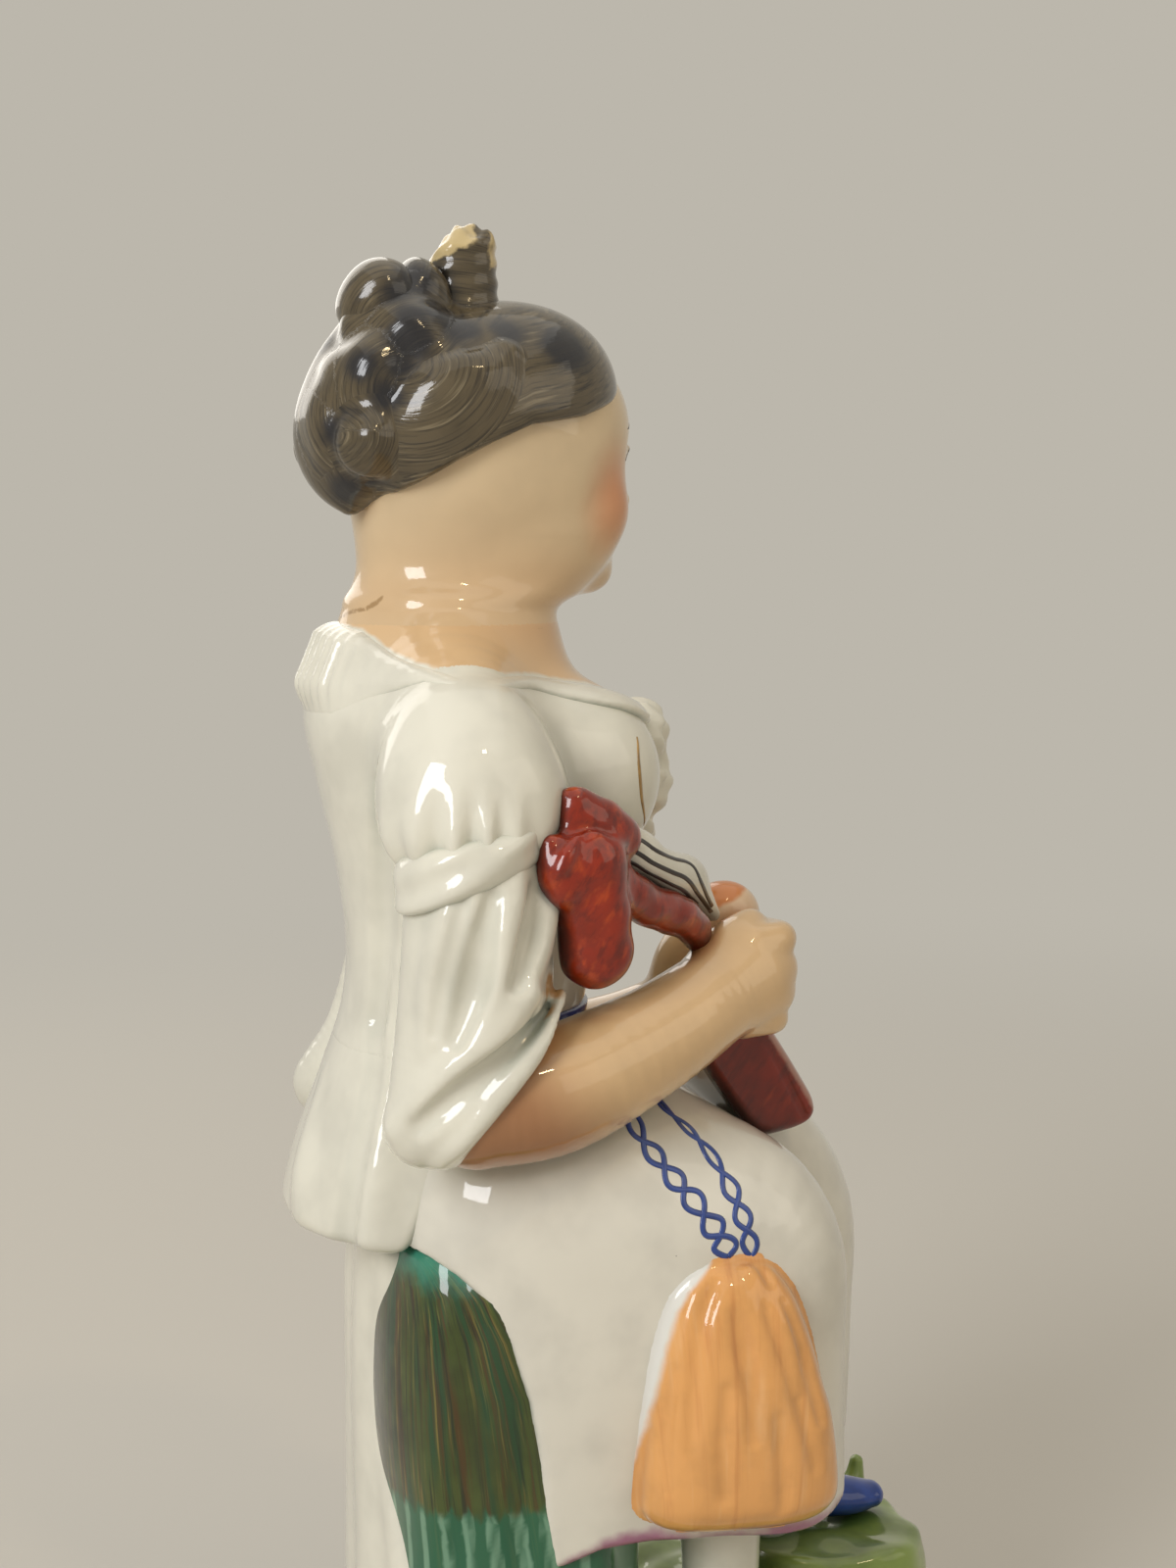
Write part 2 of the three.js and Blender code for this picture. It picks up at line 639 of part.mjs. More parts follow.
// The front roll on one side, -1 for the right and 1 for the left
function hairRoll(side, grow = 0) {
  const s = ROLL_SIZE;
  const centre = [side * HEAD_WIDTH * 0.45, headY - HEAD_DEPTH * 0.06, chinZ + HEAD_HEIGHT * 0.69];
  return withHeadTurn(lump(centre, [s * 0.52, s * 1.2, s * 0.78], { turn: [16, 0, 0], grow }));
}

// The coil low on one side of the nape
function hairCoil(side, grow = 0) {
  const s = COIL_SIZE;
  const centre = [side * HEAD_WIDTH * 0.42, headY + HEAD_DEPTH * 0.41, chinZ + HEAD_HEIGHT * 0.56];
  return withHeadTurn(lump(centre, [s * 0.62, s * 1.05, s * 1.1], { turn: [-20, 0, 0], grow }));
}

function hairMass(grow = 0) {
  const centre = [0, headY + HEAD_DEPTH * 0.1, chinZ + HEAD_HEIGHT * 0.645];
  const wide = HEAD_WIDTH / 2 + HAIR_THICKNESS * 0.7;
  const deep = HEAD_DEPTH / 2 + HAIR_THICKNESS * 1.2;
  const high = HEAD_HEIGHT * 0.355 + HAIR_THICKNESS;
  return withHeadTurn(lump(centre, [wide, deep, high], { grow, sides: 20 }));
}

function hairCap() {
  const brow = at(0, headY - HEAD_DEPTH / 2, chinZ + HEAD_HEIGHT * 0.74);
  const hairline = withHeadTurn(beyond(brow, at(0, -0.46, -0.89)));
  const around = [-1, 1].flatMap((side) => [hairRoll(side, CLEARANCE), hairCoil(side, CLEARANCE)]);
  return cut(hairMass(), hairline, headOutside(CLEARANCE), ...around);
}

function topKnot(grow = 0) {
  const [r, h] = [KNOT_RADIUS + grow, KNOT_HEIGHT + grow];
  const side = [[0, -grow], [r * 1.12, -grow], [r, h * 0.3], [r * 0.94, h * 0.75]];
  const crown = [[r * 0.7, h * 0.94], [r * 0.3, h], [0, h]];
  const foot = [0, headY + HEAD_DEPTH * 0.09, chinZ + HEAD_HEIGHT - HAIR_THICKNESS / 2];
  return withHeadTurn(turned([...side, ...crown], foot, { tilt: [-4, 0, 0], sides: 16 }));
}

function hairBun() {
  const s = BUN_SIZE;
  const centre = [0, headY + HEAD_DEPTH * 0.4, chinZ + HEAD_HEIGHT + HAIR_THICKNESS / 2];
  const whole = withHeadTurn(lump(centre, [s * 0.8, s, s * 0.72], { turn: [-38, 0, 0] }));
  return cut(whole, hairMass(CLEARANCE), topKnot(CLEARANCE));
}

// Arms, with side -1 for the right one and 1 for the left one

const arms = {
  right: { side: -1, elbowBack: 0, handOut: RIGHT_HAND_OUT },
  left: { side: 1, elbowBack: LEFT_ELBOW_BACK, handOut: LEFT_HAND_OUT },
};

// Where the puff ends and the sleeve's band begins
function bandTop({ side, elbowBack }) {
  const x = side * (SHOULDER_WIDTH / 2 + SLEEVE_OUT);
  return at(x, TORSO_BACK + SLEEVE_BACK + elbowBack / 6, neckZ - SHOULDER_DROP - PUFF_LENGTH);
}

function puff(arm, grow = 0) {
  const start = at(arm.side * SHOULDER_WIDTH * 0.43, TORSO_BACK + SLEEVE_BACK, neckZ - SHOULDER_DROP);
  const step = (share, full) => {
    const { x, y, z } = start.clone().lerp(bandTop(arm), share);
    const ripple = { count: 11, depth: 0.02 };
    return { x, y, z, w: PUFF_RADIUS * full * 0.86, d: PUFF_RADIUS * full, ripple };
  };
  const cloth = [step(0, 0.5), step(0.2, 0.86), step(0.5, 1), step(0.8, 0.97), step(1, 0.74)];
  return limb(cloth, { steps: 6, sides: 22, grow });
}

function sleeveBand(arm, grow = 0) {
  const [r, h] = [SLEEVE_BAND_RADIUS + grow, SLEEVE_BAND_HEIGHT];
  const [low, high] = [-h - grow, grow];
  const outline = [[0, low], [r * 0.88, low], [r, -h * 0.72], [r, -h * 0.28], [r * 0.88, high], [0, high]];
  const { x, y, z } = bandTop(arm);
  return turned(outline, [x, y, z - CLEARANCE], { tilt: [-8, arm.side * 6, 0] });
}

// From the elbow, inside the sleeve, to the knuckles
function forearm(arm, grow = 0) {
  const { side, elbowBack, handOut } = arm;
  const [f, wrist, fist] = [FOREARM_RADIUS, WRIST_RADIUS, FIST_RADIUS];
  const elbow = bandTop(arm).add(at(0, elbowBack, 0));
  const hand = at(side * handOut, TORSO_BACK - HAND_REACH, handZ);
  const [outer, inner] = [elbow.clone().lerp(hand, 0.23), elbow.clone().lerp(hand, 0.68)];
  const elbowZ = handZ - ELBOW_DROP;
  const step = (x, y, z, w, d) => ({ x, y, z, w, d });
  const line = [
    step(elbow.x, elbow.y + f * 0.56, elbowZ + f * 0.28, f * 0.8, f * 0.9),
    step(elbow.x - side * f * 0.14, elbow.y - f * 0.28, elbowZ, f * 0.96, f),
    step(outer.x, outer.y, handZ - ELBOW_DROP * 0.78, f * 0.95, f * 1.04),
    step(inner.x, inner.y, handZ - ELBOW_DROP * 0.42, wrist * 0.95, wrist * 1.04),
    step(hand.x + side * fist * 0.27, hand.y + fist * 0.75, handZ - fist * 0.16, fist * 0.72, fist * 0.98),
    step(hand.x, hand.y, handZ, fist * 0.76, fist),
    step(hand.x - side * fist * 0.14, hand.y - fist * 0.6, handZ, fist * 0.5, fist * 0.72),
  ];
  return limb(line, { steps: 11, sides: 14, grow });
}

// The open sleeve that falls from the band and is cut away over the forearm
function lowerSleeve(arm) {
  const { x, y, z } = bandTop(arm);
  const r = SLEEVE_RADIUS;
  const top = z - SLEEVE_BAND_HEIGHT - 3 * CLEARANCE;
  const level = (share, full, back) => ({
    x,
    y: y + r * back + arm.elbowBack * (1 - share),
    z: top - SLEEVE_DROP * (1 - share),
    w: r * full * 0.84,
    d: r * full,
    ripple: { count: 7, depth: 0.02 },
  });
  const tip = [level(0, 0.45, 0.4), level(0.12, 0.86, 0.2), level(0.45, 1.06, 0.06)];
  const gathers = [level(0.75, 1.02, 0), level(1, 0.84, 0)];
  const opening = beyond(at(0, y - r * 1.06, top - SLEEVE_DROP / 3), at(0, -0.72, -0.7));
  const pocket = [x, y - r * 0.76, top - SLEEVE_DROP * 0.4];
  const inside = lump(pocket, [r * 0.7, r * 0.6, r * 0.76], { sides: 12 });
  const band = sleeveBand(arm, CLEARANCE);
  const cloth = stack([...tip, ...gathers], { sides: 24, steps: 6 });
  return cut(cloth, opening, inside, forearm(arm, CLEARANCE * 1.5), band);
}

// The doll, with its gown over the knees, and the cloths tucked under the arm

function dollHead(grow = 0) {
  const r = DOLL_HEAD_RADIUS;
  const centre = [-DOLL_RIGHT, TORSO_BACK - HAND_REACH + r * 0.34, handZ + r * 1.75];
  return lump(centre, [r * 0.94, r * 1.05, r], { grow, sides: 14 });
}

function gown() {
  const [w, d] = [GOWN_THICKNESS / 2, GOWN_WIDTH / 2];
  const level = (share, forward, wide, deep) => ({
    x: -DOLL_RIGHT,
    y: TORSO_BACK - HAND_REACH - GOWN_WIDTH * forward,
    z: lapZ + GOWN_LENGTH * (share - 0.15),
    w: w * wide,
    d: d * deep,
    round: SQUARE,
  });
  const cloth = [
    level(0, 0.26, 0.9, 0.94),
    level(0.15, 0.2, 1, 1),
    level(0.45, 0, 1, 0.98),
    level(0.78, -0.12, 0.86, 0.78),
    level(1, -0.15, 0.6, 0.5),
  ];
  return stack(cloth, { sides: 18, steps: 6 });
}

// Where the shawl is pinched against the chest
const pinch = at(-SHOULDER_WIDTH * 0.485, TORSO_BACK - CHEST_DEPTH * 0.234, torsoZ + TORSO_HEIGHT * 0.42);

function shawl(grow = 0) {
  const { x, y, z } = pinch;
  const s = SHAWL_SIZE;
  const flap = lump([x + s * 0.13, y + s * 0.1, z + s * 1.15], [s * 0.5, s * 0.75, s * 0.72], {
    turn: [35, 0, 0],
    grow,
    sides: 10,
  });
  const bulk = lump([x, y + s * 0.06, z], [s * 0.72, s * 0.96, s], { grow, sides: 12 });
  const low = [x + s * 0.16, y - s * 0.2, z - s * 1.2];
  const lobe = lump(low, [s * 0.66, s * 0.76, s * 0.92], { grow, sides: 12 });
  const end = at(-RIGHT_HAND_OUT * 0.85, TORSO_BACK - HAND_REACH * 0.82, handZ + FIST_RADIUS);
  const step = (share, up, wide, deep) => ({
    x: x + s * 0.24 + (end.x - x - s * 0.24) * share,
    y: y - s * 0.4 + (end.y - y + s * 0.4) * share,
    z: z + (end.z - z) * share + s * up,
    w: s * wide,
    d: s * deep,
  });
  const branch = limb([step(0, -0.16, 0.5, 0.55), step(0.5, 0.1, 0.42, 0.46), step(1, 0, 0.36, 0.4)], {
    sides: 10,
    steps: 4,
    grow,
  });
  return join(bulk, flap, lobe, branch);
}

function scarf() {
  const t = SCARF_THICKNESS / 2;
  const end = at(-RIGHT_HAND_OUT * 0.67, TORSO_BACK - HAND_REACH * 0.85, handZ + FIST_RADIUS * 0.9);
  const start = at(pinch.x * 0.81, pinch.y - t * 1.2, pinch.z + t * 0.8);
  const step = (share, up, wide, deep) => {
    const { x, y, z } = start.clone().lerp(end, share);
    return { x, y, z: z + t * up, w: t * wide, d: t * deep };
  };
  const wide = [step(0, 0, 1.2, 1.05), step(0.45, 0.9, 1.4, 1.15)];
  const narrow = [step(0.77, 0.6, 1.2, 0.85), step(1, 0, 0.8, 0.6)];
  return limb([...wide, ...narrow], { sides: 12, steps: 6 });
}

// The gathered bag that hangs against the right side of the skirt
function reticule() {
  const [w, d] = [BAG_THICKNESS / 2, BAG_WIDTH / 2];
  const bottom = seatZ + CLEARANCE * 4 - BAG_HEIGHT;
  const level = (share, wide, deep) => ({
    x: -SKIRT_WIDTH * 0.51,
    y: -BAG_FORWARD,
    z: bottom + BAG_HEIGHT * share,
    w: w * wide,
    d: d * deep,
    round: FULL,
  });
  const purse = [level(0, 0.45, 0.72), level(0.06, 0.8, 0.92), level(0.3, 1, 1)];
  const gathers = [level(0.62, 0.92, 0.78), level(0.88, 0.7, 0.46), level(1, 0.4, 0.28)];
  return stack([...purse, ...gathers], { sides: 20, steps: 8 });
}

// Assembly: each piece is cut back to a luting gap from the pieces that it seats on

const figure = new THREE.Group();

function place(name, piece, material) {
  const { vertProperties, triVerts } = piece.getMesh();
  const geometry = new THREE.BufferGeometry();
  geometry.setAttribute('position', new THREE.BufferAttribute(vertProperties, 3));
  geometry.setIndex(new THREE.BufferAttribute(triVerts, 1));
  geometry.computeVertexNormals();
  const mesh = new THREE.Mesh(geometry, material);
  mesh.name = name;
  figure.add(mesh);
}

const hollow = pressedHollow();
const torso = torsoOutside(CLEARANCE);
const skirt = skirtOutside(CLEARANCE);
const rock = seatRock(CLEARANCE);
const skull = headOutside(CLEARANCE);
const neckline = necklineBand(CLEARANCE);
const hands = Object.values(arms).map((arm) => forearm(arm, CLEARANCE));

place('base_plinth', cut(plinth(), hollow), WHITE);
place('base_turf', cut(turf(), hollow), GRASS);
place('seat_rock', cut(seatRock(), hollow), ROCK);
place('footrest_rock', footrest(), GRASS);
place('rock_foliage', foliage(), GRASS);
for (const [name, foot] of Object.entries(feet)) {
  place(`${name}_leg`, leg(foot), WHITE);
  place(`${name}_shoe`, shoe(foot), BLUE);
}

place('skirt', cut(skirtOutside(), skirtHollow(), rock, hollow, ...hands), WHITE);
place('back_drape', cut(backDrape(), rock, skirt), WHITE);
place('torso', cut(torsoOutside(), hollow), WHITE);
place('waist_belt', belt(), BLUE);
place('jacket_tail', jacketTail(), WHITE);
place('neckline_band', cut(necklineBand(), torso, skull), WHITE);
place('chemise_ruffle', cut(ruffle(), torso, neckline), WHITE);

place('head', cut(head(), hollow), FLESH);
place('hair_cap', hairCap(), HAIR);
for (const [name, side] of [['right', -1], ['left', 1]]) {
  place(`hair_roll_${name}`, cut(hairRoll(side), skull), HAIR);
  place(`hair_coil_${name}`, cut(hairCoil(side), skull, hairRoll(side, CLEARANCE)), HAIR);
}
place('hair_bun', hairBun(), HAIR);
place('hair_top_knot', cut(topKnot(), hairMass(CLEARANCE)), HAIR);

for (const [name, arm] of Object.entries(arms)) {
  place(`${name}_sleeve_puff`, cut(puff(arm), torso, neckline, sleeveBand(arm, CLEARANCE)), WHITE);
  place(`${name}_sleeve_band`, cut(sleeveBand(arm), torso), WHITE);
  place(`${name}_lower_sleeve`, cut(lowerSleeve(arm), torso, shawl(CLEARANCE)), WHITE);
  place(`${name}_forearm`, largest(cut(forearm(arm), torso, belt(CLEARANCE))), FLESH);
}

place('doll_head', cut(dollHead(), ...hands), FLESH);
place('doll_gown', cut(gown(), ...hands, dollHead(CLEARANCE), skirt), RED);
place('red_shawl', cut(shawl(), ...hands, torso, puff(arms.right, CLEARANCE)), RED);
place('striped_scarf', cut(scarf(), torso, shawl(CLEARANCE)), WHITE);
place('reticule', cut(reticule(), skirt), ORANGE);

export default figure;
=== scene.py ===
"""A seated lady in glazed earthenware, modelled as clay and dressed in glaze and enamel.

Lengths inside the sculpting code are millimetres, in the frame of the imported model: +Z up, the figure
faces -Y and its own right side is -X. Meshes are written in metres. The forms are signed distances,
because the real ones are soft clay that is pressed, joined with slip and smoothed by hand.
"""

from __future__ import annotations

import logging
import math
import sys
from collections.abc import Callable, Iterable, Sequence
from concurrent.futures import ThreadPoolExecutor
from dataclasses import dataclass, field
from enum import Enum
from functools import reduce
from itertools import product

import bpy
import numpy as np
from bpy.types import NodeSocket, NodeTree, Object
from mathutils import Matrix, Vector

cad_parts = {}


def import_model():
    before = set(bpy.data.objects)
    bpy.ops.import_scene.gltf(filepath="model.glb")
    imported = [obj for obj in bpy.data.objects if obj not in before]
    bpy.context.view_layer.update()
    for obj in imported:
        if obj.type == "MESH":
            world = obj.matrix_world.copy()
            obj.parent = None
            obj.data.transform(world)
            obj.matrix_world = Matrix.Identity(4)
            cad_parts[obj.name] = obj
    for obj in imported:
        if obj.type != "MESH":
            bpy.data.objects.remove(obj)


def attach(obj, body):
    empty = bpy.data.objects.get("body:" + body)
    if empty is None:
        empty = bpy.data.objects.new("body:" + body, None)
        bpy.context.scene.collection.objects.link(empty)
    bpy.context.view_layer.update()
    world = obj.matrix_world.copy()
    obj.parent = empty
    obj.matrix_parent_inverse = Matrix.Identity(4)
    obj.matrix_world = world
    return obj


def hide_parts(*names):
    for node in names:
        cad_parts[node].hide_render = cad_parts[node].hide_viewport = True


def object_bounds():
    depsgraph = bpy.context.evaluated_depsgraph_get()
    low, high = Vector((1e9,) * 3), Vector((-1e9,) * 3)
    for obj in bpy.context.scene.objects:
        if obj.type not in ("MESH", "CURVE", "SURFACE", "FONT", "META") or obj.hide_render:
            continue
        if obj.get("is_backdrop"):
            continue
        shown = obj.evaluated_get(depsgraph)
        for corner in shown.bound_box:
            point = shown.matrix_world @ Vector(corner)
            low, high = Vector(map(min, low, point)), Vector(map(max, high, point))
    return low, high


LOG = logging.getLogger("figure")
MM = 0.001
Row = Sequence[float]
Rows = Sequence[Row]
Array = np.ndarray
Points = Array
Field = Callable[[Points], Array]


# Clay: shapes as signed distances, in millimetres, negative inside


@dataclass
class Clay:
    """A body of clay, as a signed distance inside a box that holds its surface."""

    low: Array
    high: Array
    depth: Field
    reach: float = 9.0

    def __call__(self, points: Points) -> Array:
        """Signed distance of points from the surface, negative inside.

        Args:
            points: An array of n places.

        Returns:
            n distances, exact near the box and a lower bound far from it.
        """
        gap = np.maximum(self.low - points, points - self.high).max(axis=1)
        out = np.maximum(gap, self.reach)
        near = gap < self.reach
        if near.any():
            out[near] = self.depth(points[near])
        return out

    def slope(self, points: Points, step: float = 0.05) -> Array:
        """The way in which the distance grows, not scaled to one."""
        here = self(points)
        return np.column_stack([(self(points + move) - here) / step for move in np.eye(3) * step])

    def onto(self, points: Points, lift: float = 0.0) -> Points:
        """Moves points to the surface, or to a height above it.

        Args:
            points: Places near the surface.
            lift: The height.

        Returns:
            The moved places.
        """
        points = np.array(points, float)
        for _ in range(4):
            slope = self.slope(points)
            size = np.maximum((slope**2).sum(axis=1), 0.05)
            points -= slope * ((self(points) - lift) / size)[:, None]
        return points


def spot(*values: float) -> Array:
    """One place, as an array."""
    return np.array(values, float)


def law(rule: Callable[..., Array]) -> Field:
    """A field from a rule of x, y and z."""
    return lambda p: rule(*p.T)


def smooth(points: Rows, count: int) -> Array:
    """A smooth line through places of any width of row.

    Args:
        points: Rows of numbers to pass through.
        count: How many rows to return.

    Returns:
        Rows evenly spread over the line's parts.
    """
    rows = np.array(points, float)
    padded = np.vstack([2 * rows[0] - rows[1], rows, 2 * rows[-1] - rows[-2]])
    spans = len(rows) - 1
    at = np.linspace(0, spans, count)
    i = np.minimum(at.astype(int), spans - 1)
    t = (at - i)[:, None]
    a, b, c, d = padded[i], padded[i + 1], padded[i + 2], padded[i + 3]
    return 0.5 * (2 * b + (c - a) * t + (2 * a - 5 * b + 4 * c - d) * t**2 + (3 * b - a - 3 * c + d) * t**3)


def turned(angles: Row) -> Array:
    """Makes a turning matrix.

    Args:
        angles: Angles about X, Y and Z in turn, in degrees.

    Returns:
        The matrix.
    """
    turn = Matrix.Identity(3)
    for angle, axis in zip(angles, "XYZ"):
        turn = Matrix.Rotation(math.radians(angle), 3, axis) @ turn
    return np.array(turn)


def egg(offsets: Points, radii: Points) -> Array:
    """Distance from an ellipsoid.

    Args:
        offsets: Places as seen from its middle, along its own axes.
        radii: Its half sizes.

    Returns:
        Distances, close to the true ones near the surface.
    """
    near = np.sqrt(((offsets / radii) ** 2).sum(axis=1)) + 1e-9
    steep = np.sqrt(((offsets / radii**2) ** 2).sum(axis=1)) + 1e-9
    return near * (near - 1) / steep


def ball(centre: Row, radii: Row, turn: Row = (0, 0, 0)) -> Clay:
    """An ellipsoid.

    Args:
        centre: Its middle.
        radii: Its half sizes along its own axes.
        turn: Angles about X, Y and Z in degrees.

    Returns:
        The clay.
    """
    middle, half, way = spot(*centre), spot(*radii), turned(turn)
    far = half.max()
    return Clay(middle - far, middle + far, lambda p: egg((p - middle) @ way, half))


def rope(points: Rows, radii: Row, flat: Row | None = None, up: Row = (0, 0, 1)) -> Clay:
    """A rod along a smooth line, round or flattened.

    Args:
        points: Places that the line passes through.
        radii: The half width at each place.
        flat: The half thickness at each place, or None for a round rod.
        up: The way in which the thickness is measured.

    Returns:
        The clay.
    """
    at_once = 20000
    wide = np.array(radii, float)
    thin = wide if flat is None else np.array(flat, float)
    rows = np.column_stack([np.array(points, float), wide, thin])
    line = smooth(rows, 5 * len(rows))
    start, span = line[:-1, :3], np.diff(line[:, :3], axis=0)
    length = np.maximum((span**2).sum(axis=1), 1e-9)
    along = span / np.sqrt(length)[:, None]
    side = np.cross(along, spot(*up))
    side /= np.maximum(np.linalg.norm(side, axis=1), 1e-6)[:, None]
    over = np.cross(side, along)
    half = line[:, 3:]
    base = (start * span).sum(axis=1)
    start_size = (start**2).sum(axis=1)

    def chunk(p: Points) -> Array:
        """Distance of some places, from the nearest stretch of the line.

        Args:
            p: The places.

        Returns:
            Their distances.
        """
        ahead = p @ span.T - base
        t = np.clip(ahead / length, 0, 1)
        d = (p**2).sum(axis=1)[:, None] - 2 * (p @ start.T) + start_size - t * (2 * ahead - t * length)
        d = np.sqrt(np.maximum(d, 0))
        if flat is None:
            return (d - half[:-1, 0] - (half[1:, 0] - half[:-1, 0]) * t).min(axis=1)
        where = d.argmin(axis=1)
        share = t[np.arange(len(p)), where][:, None]
        off = p - start[where] - share * span[where]
        size = half[where] * (1 - share) + half[where + 1] * share
        parts = [(off * way[where]).sum(axis=1) for way in (side, over, along)]
        return egg(np.column_stack(parts), np.column_stack([size, size[:, 1]]))

    def depth(p: Points) -> Array:
        """Distance of any number of places, worked out a part at a time to save memory."""
        return np.concatenate([chunk(p[i : i + at_once]) for i in range(0, max(len(p), 1), at_once)])

    far = half.max()
    return Clay(line[:, :3].min(0) - far, line[:, :3].max(0) + far, depth)


@dataclass
class Level:
    """One level of a turned form: its height, middle, half sizes and squareness."""

    z: float
    y: float
    wide: float
    front: float
    back: float
    square: float = 2.2
    x: float = 0.0


def stack(rows: Rows) -> Clay:
    """A form built up from levels, each an oval with its own front and back.

    Args:
        rows: The values of each Level, from the lowest up.

    Returns:
        The clay, cut flat at its lowest and highest levels.
    """
    rim, shrink, room = 1.2, 0.92, 1.5
    levels = [Level(*row) for row in rows]
    table = smooth([[v.z, v.x, v.y, v.wide, v.front, v.back, v.square] for v in levels], 24 * len(levels))
    table = table[np.argsort(table[:, 0])]
    bottom, top = levels[0].z, levels[-1].z

    def depth(p: Points) -> Array:
        """Distance measured outwards from the middle of each level.

        Args:
            p: The places.

        Returns:
            Their distances, a little short so that steep sides stay safe.
        """
        x0, y0, wide, front, back, square = (np.interp(p[:, 2], table[:, 0], table[:, i]) for i in range(1, 7))
        x, y = p[:, 0] - x0, p[:, 1] - y0
        deep = np.where(y < 0, front, back)
        far = np.hypot(x, y) + 1e-6
        ratio = ((np.abs(x) / wide) ** square + (np.abs(y) / deep) ** square) ** (1 / square) + 1e-6
        edge = far / ratio
        cap = np.maximum(bottom - p[:, 2], p[:, 2] - top)
        return softer((far - edge) * shrink, cap, rim)

    half = table[:, 3:6].max() + room
    low = spot(table[:, 1].min() - half, table[:, 2].min() - half, bottom)
    return Clay(low, spot(table[:, 1].max() + half, table[:, 2].max() + half, top), depth)


def softer(a: Array, b: Array, soft: float) -> Array:
    """The larger of two distances, rounded where they cross."""
    near = np.maximum(soft - np.abs(a - b), 0) / max(soft, 1e-6)
    return np.maximum(a, b) + near * near * soft / 4


def join(soft: float, *parts: Clay) -> Clay:
    """Clay pressed together.

    Args:
        soft: About how wide the fillet between the parts is.
        *parts: The parts.

    Returns:
        The clay.
    """
    low = np.min([v.low for v in parts], axis=0) - soft / 4
    high = np.max([v.high for v in parts], axis=0) + soft / 4

    def depth(p: Points) -> Array:
        """Distance from the parts, pressed on one after another."""
        return reduce(lambda out, part: -softer(-out, -part(p), soft), parts[1:], parts[0](p))

    return Clay(low, high, depth)


def keep(soft: float, body: Clay, *sides: Field) -> Clay:
    """Clay kept where the other fields are negative.

    Args:
        soft: Rounding of the edge that is cut.
        body: The clay.
        *sides: The fields.

    Returns:
        The clay that is left.
    """

    def depth(p: Points) -> Array:
        """Distance from the body, cut by one field after another."""
        return reduce(lambda out, side: softer(out, side(p), soft), sides, body(p))

    return Clay(body.low, body.high, depth)


def outside(tool: Field) -> Field:
    """A field turned inside out, so that keep() takes the form out of clay."""
    return lambda p: -tool(p)


def carve(soft: float, body: Clay, *tools: Clay) -> Clay:
    """Clay with other forms taken out of it, with a rounded edge."""
    return keep(soft, body, *map(outside, tools))


def swell(body: Clay, amount: float | Field) -> Clay:
    """Clay grown outwards.

    Args:
        body: The clay.
        amount: How far, or a field of it that stays under 1.5 mm or is cut to size later.

    Returns:
        The grown clay.
    """
    if callable(amount):
        return Clay(body.low - 1.5, body.high + 1.5, lambda p: body(p) - amount(p))
    most = max(amount, 0)
    return Clay(body.low - most, body.high + most, lambda p: body(p) - amount)


def beyond(place: Row, way: Row) -> Field:
    """Distance past a plane, so that keep() cuts away what lies beyond it."""
    middle, unit = spot(*place), spot(*way) / np.linalg.norm(spot(*way))
    return lambda p: (p - middle) @ unit


def sunk(body: Clay, place: Row, way: Row) -> Clay:
    """Clay that ends past a plane and sinks under its neighbour before it does, so that no seam shows.

    Args:
        body: The clay.
        place: A place on the plane.
        way: The way past it.

    Returns:
        The clay, which ends 1.2 mm past the plane and 0.6 mm deeper.
    """
    over, sink = 1.2, 0.6
    past = beyond(place, way)
    low = swell(body, lambda p: -sink * np.clip(past(p) / over, 0, 1))
    return keep(0.05, low, lambda p: past(p) - over)


def sized(clay: Clay, low: Row, high: Row) -> Clay:
    """Clay whose surface is looked for in a box of its own."""
    return Clay(spot(*low), spot(*high), clay.depth)


def mirrored(clay: Clay, move: Row = (0, 0, 0)) -> Clay:
    """The same clay on the figure's other side.

    Args:
        clay: The clay.
        move: How far it is then moved.

    Returns:
        The mirrored clay.
    """
    flip, shift = spot(-1, 1, 1), spot(*move)
    ends = clay.low * flip + shift, clay.high * flip + shift
    return Clay(np.minimum(*ends), np.maximum(*ends), lambda p: clay((p - shift) * flip))


def attached(clay: Clay, host: Clay, soft: float) -> Clay:
    """Clay with a fillet of slip onto the part that carries it."""
    whole = swell(join(soft, clay, host), -0.03)
    return sized(keep(0.2, whole, lambda p: clay(p) - 1.05 * soft), clay.low - soft, clay.high + soft)


def plate(outline: Points, x_low: float, x_high: float, soft: float) -> Clay:
    """A slab between two values of X, with a convex outline in Y and Z.

    Args:
        outline: Places on the outline in order.
        x_low: The lower side.
        x_high: The upper side.
        soft: Rounding of its edges.

    Returns:
        The clay.
    """
    outline = np.asarray(outline, float)[:, 1:]
    way = np.roll(outline, -1, axis=0) - outline
    normal = np.column_stack([way[:, 1], -way[:, 0]]) / np.linalg.norm(way, axis=1)[:, None]
    normal *= np.sign(((outline - outline.mean(axis=0)) * normal).sum(axis=1))[:, None]

    def depth(p: Points) -> Array:
        """Distance from the two sides and then from each edge."""
        slab = np.maximum(x_low - p[:, 0], p[:, 0] - x_high)
        return reduce(lambda out, side: softer(out, (p[:, 1:] - side[0]) @ side[1], soft), zip(outline, normal), slab)

    return Clay(spot(x_low, *outline.min(axis=0)), spot(x_high, *outline.max(axis=0)), depth)


# From clay to mesh


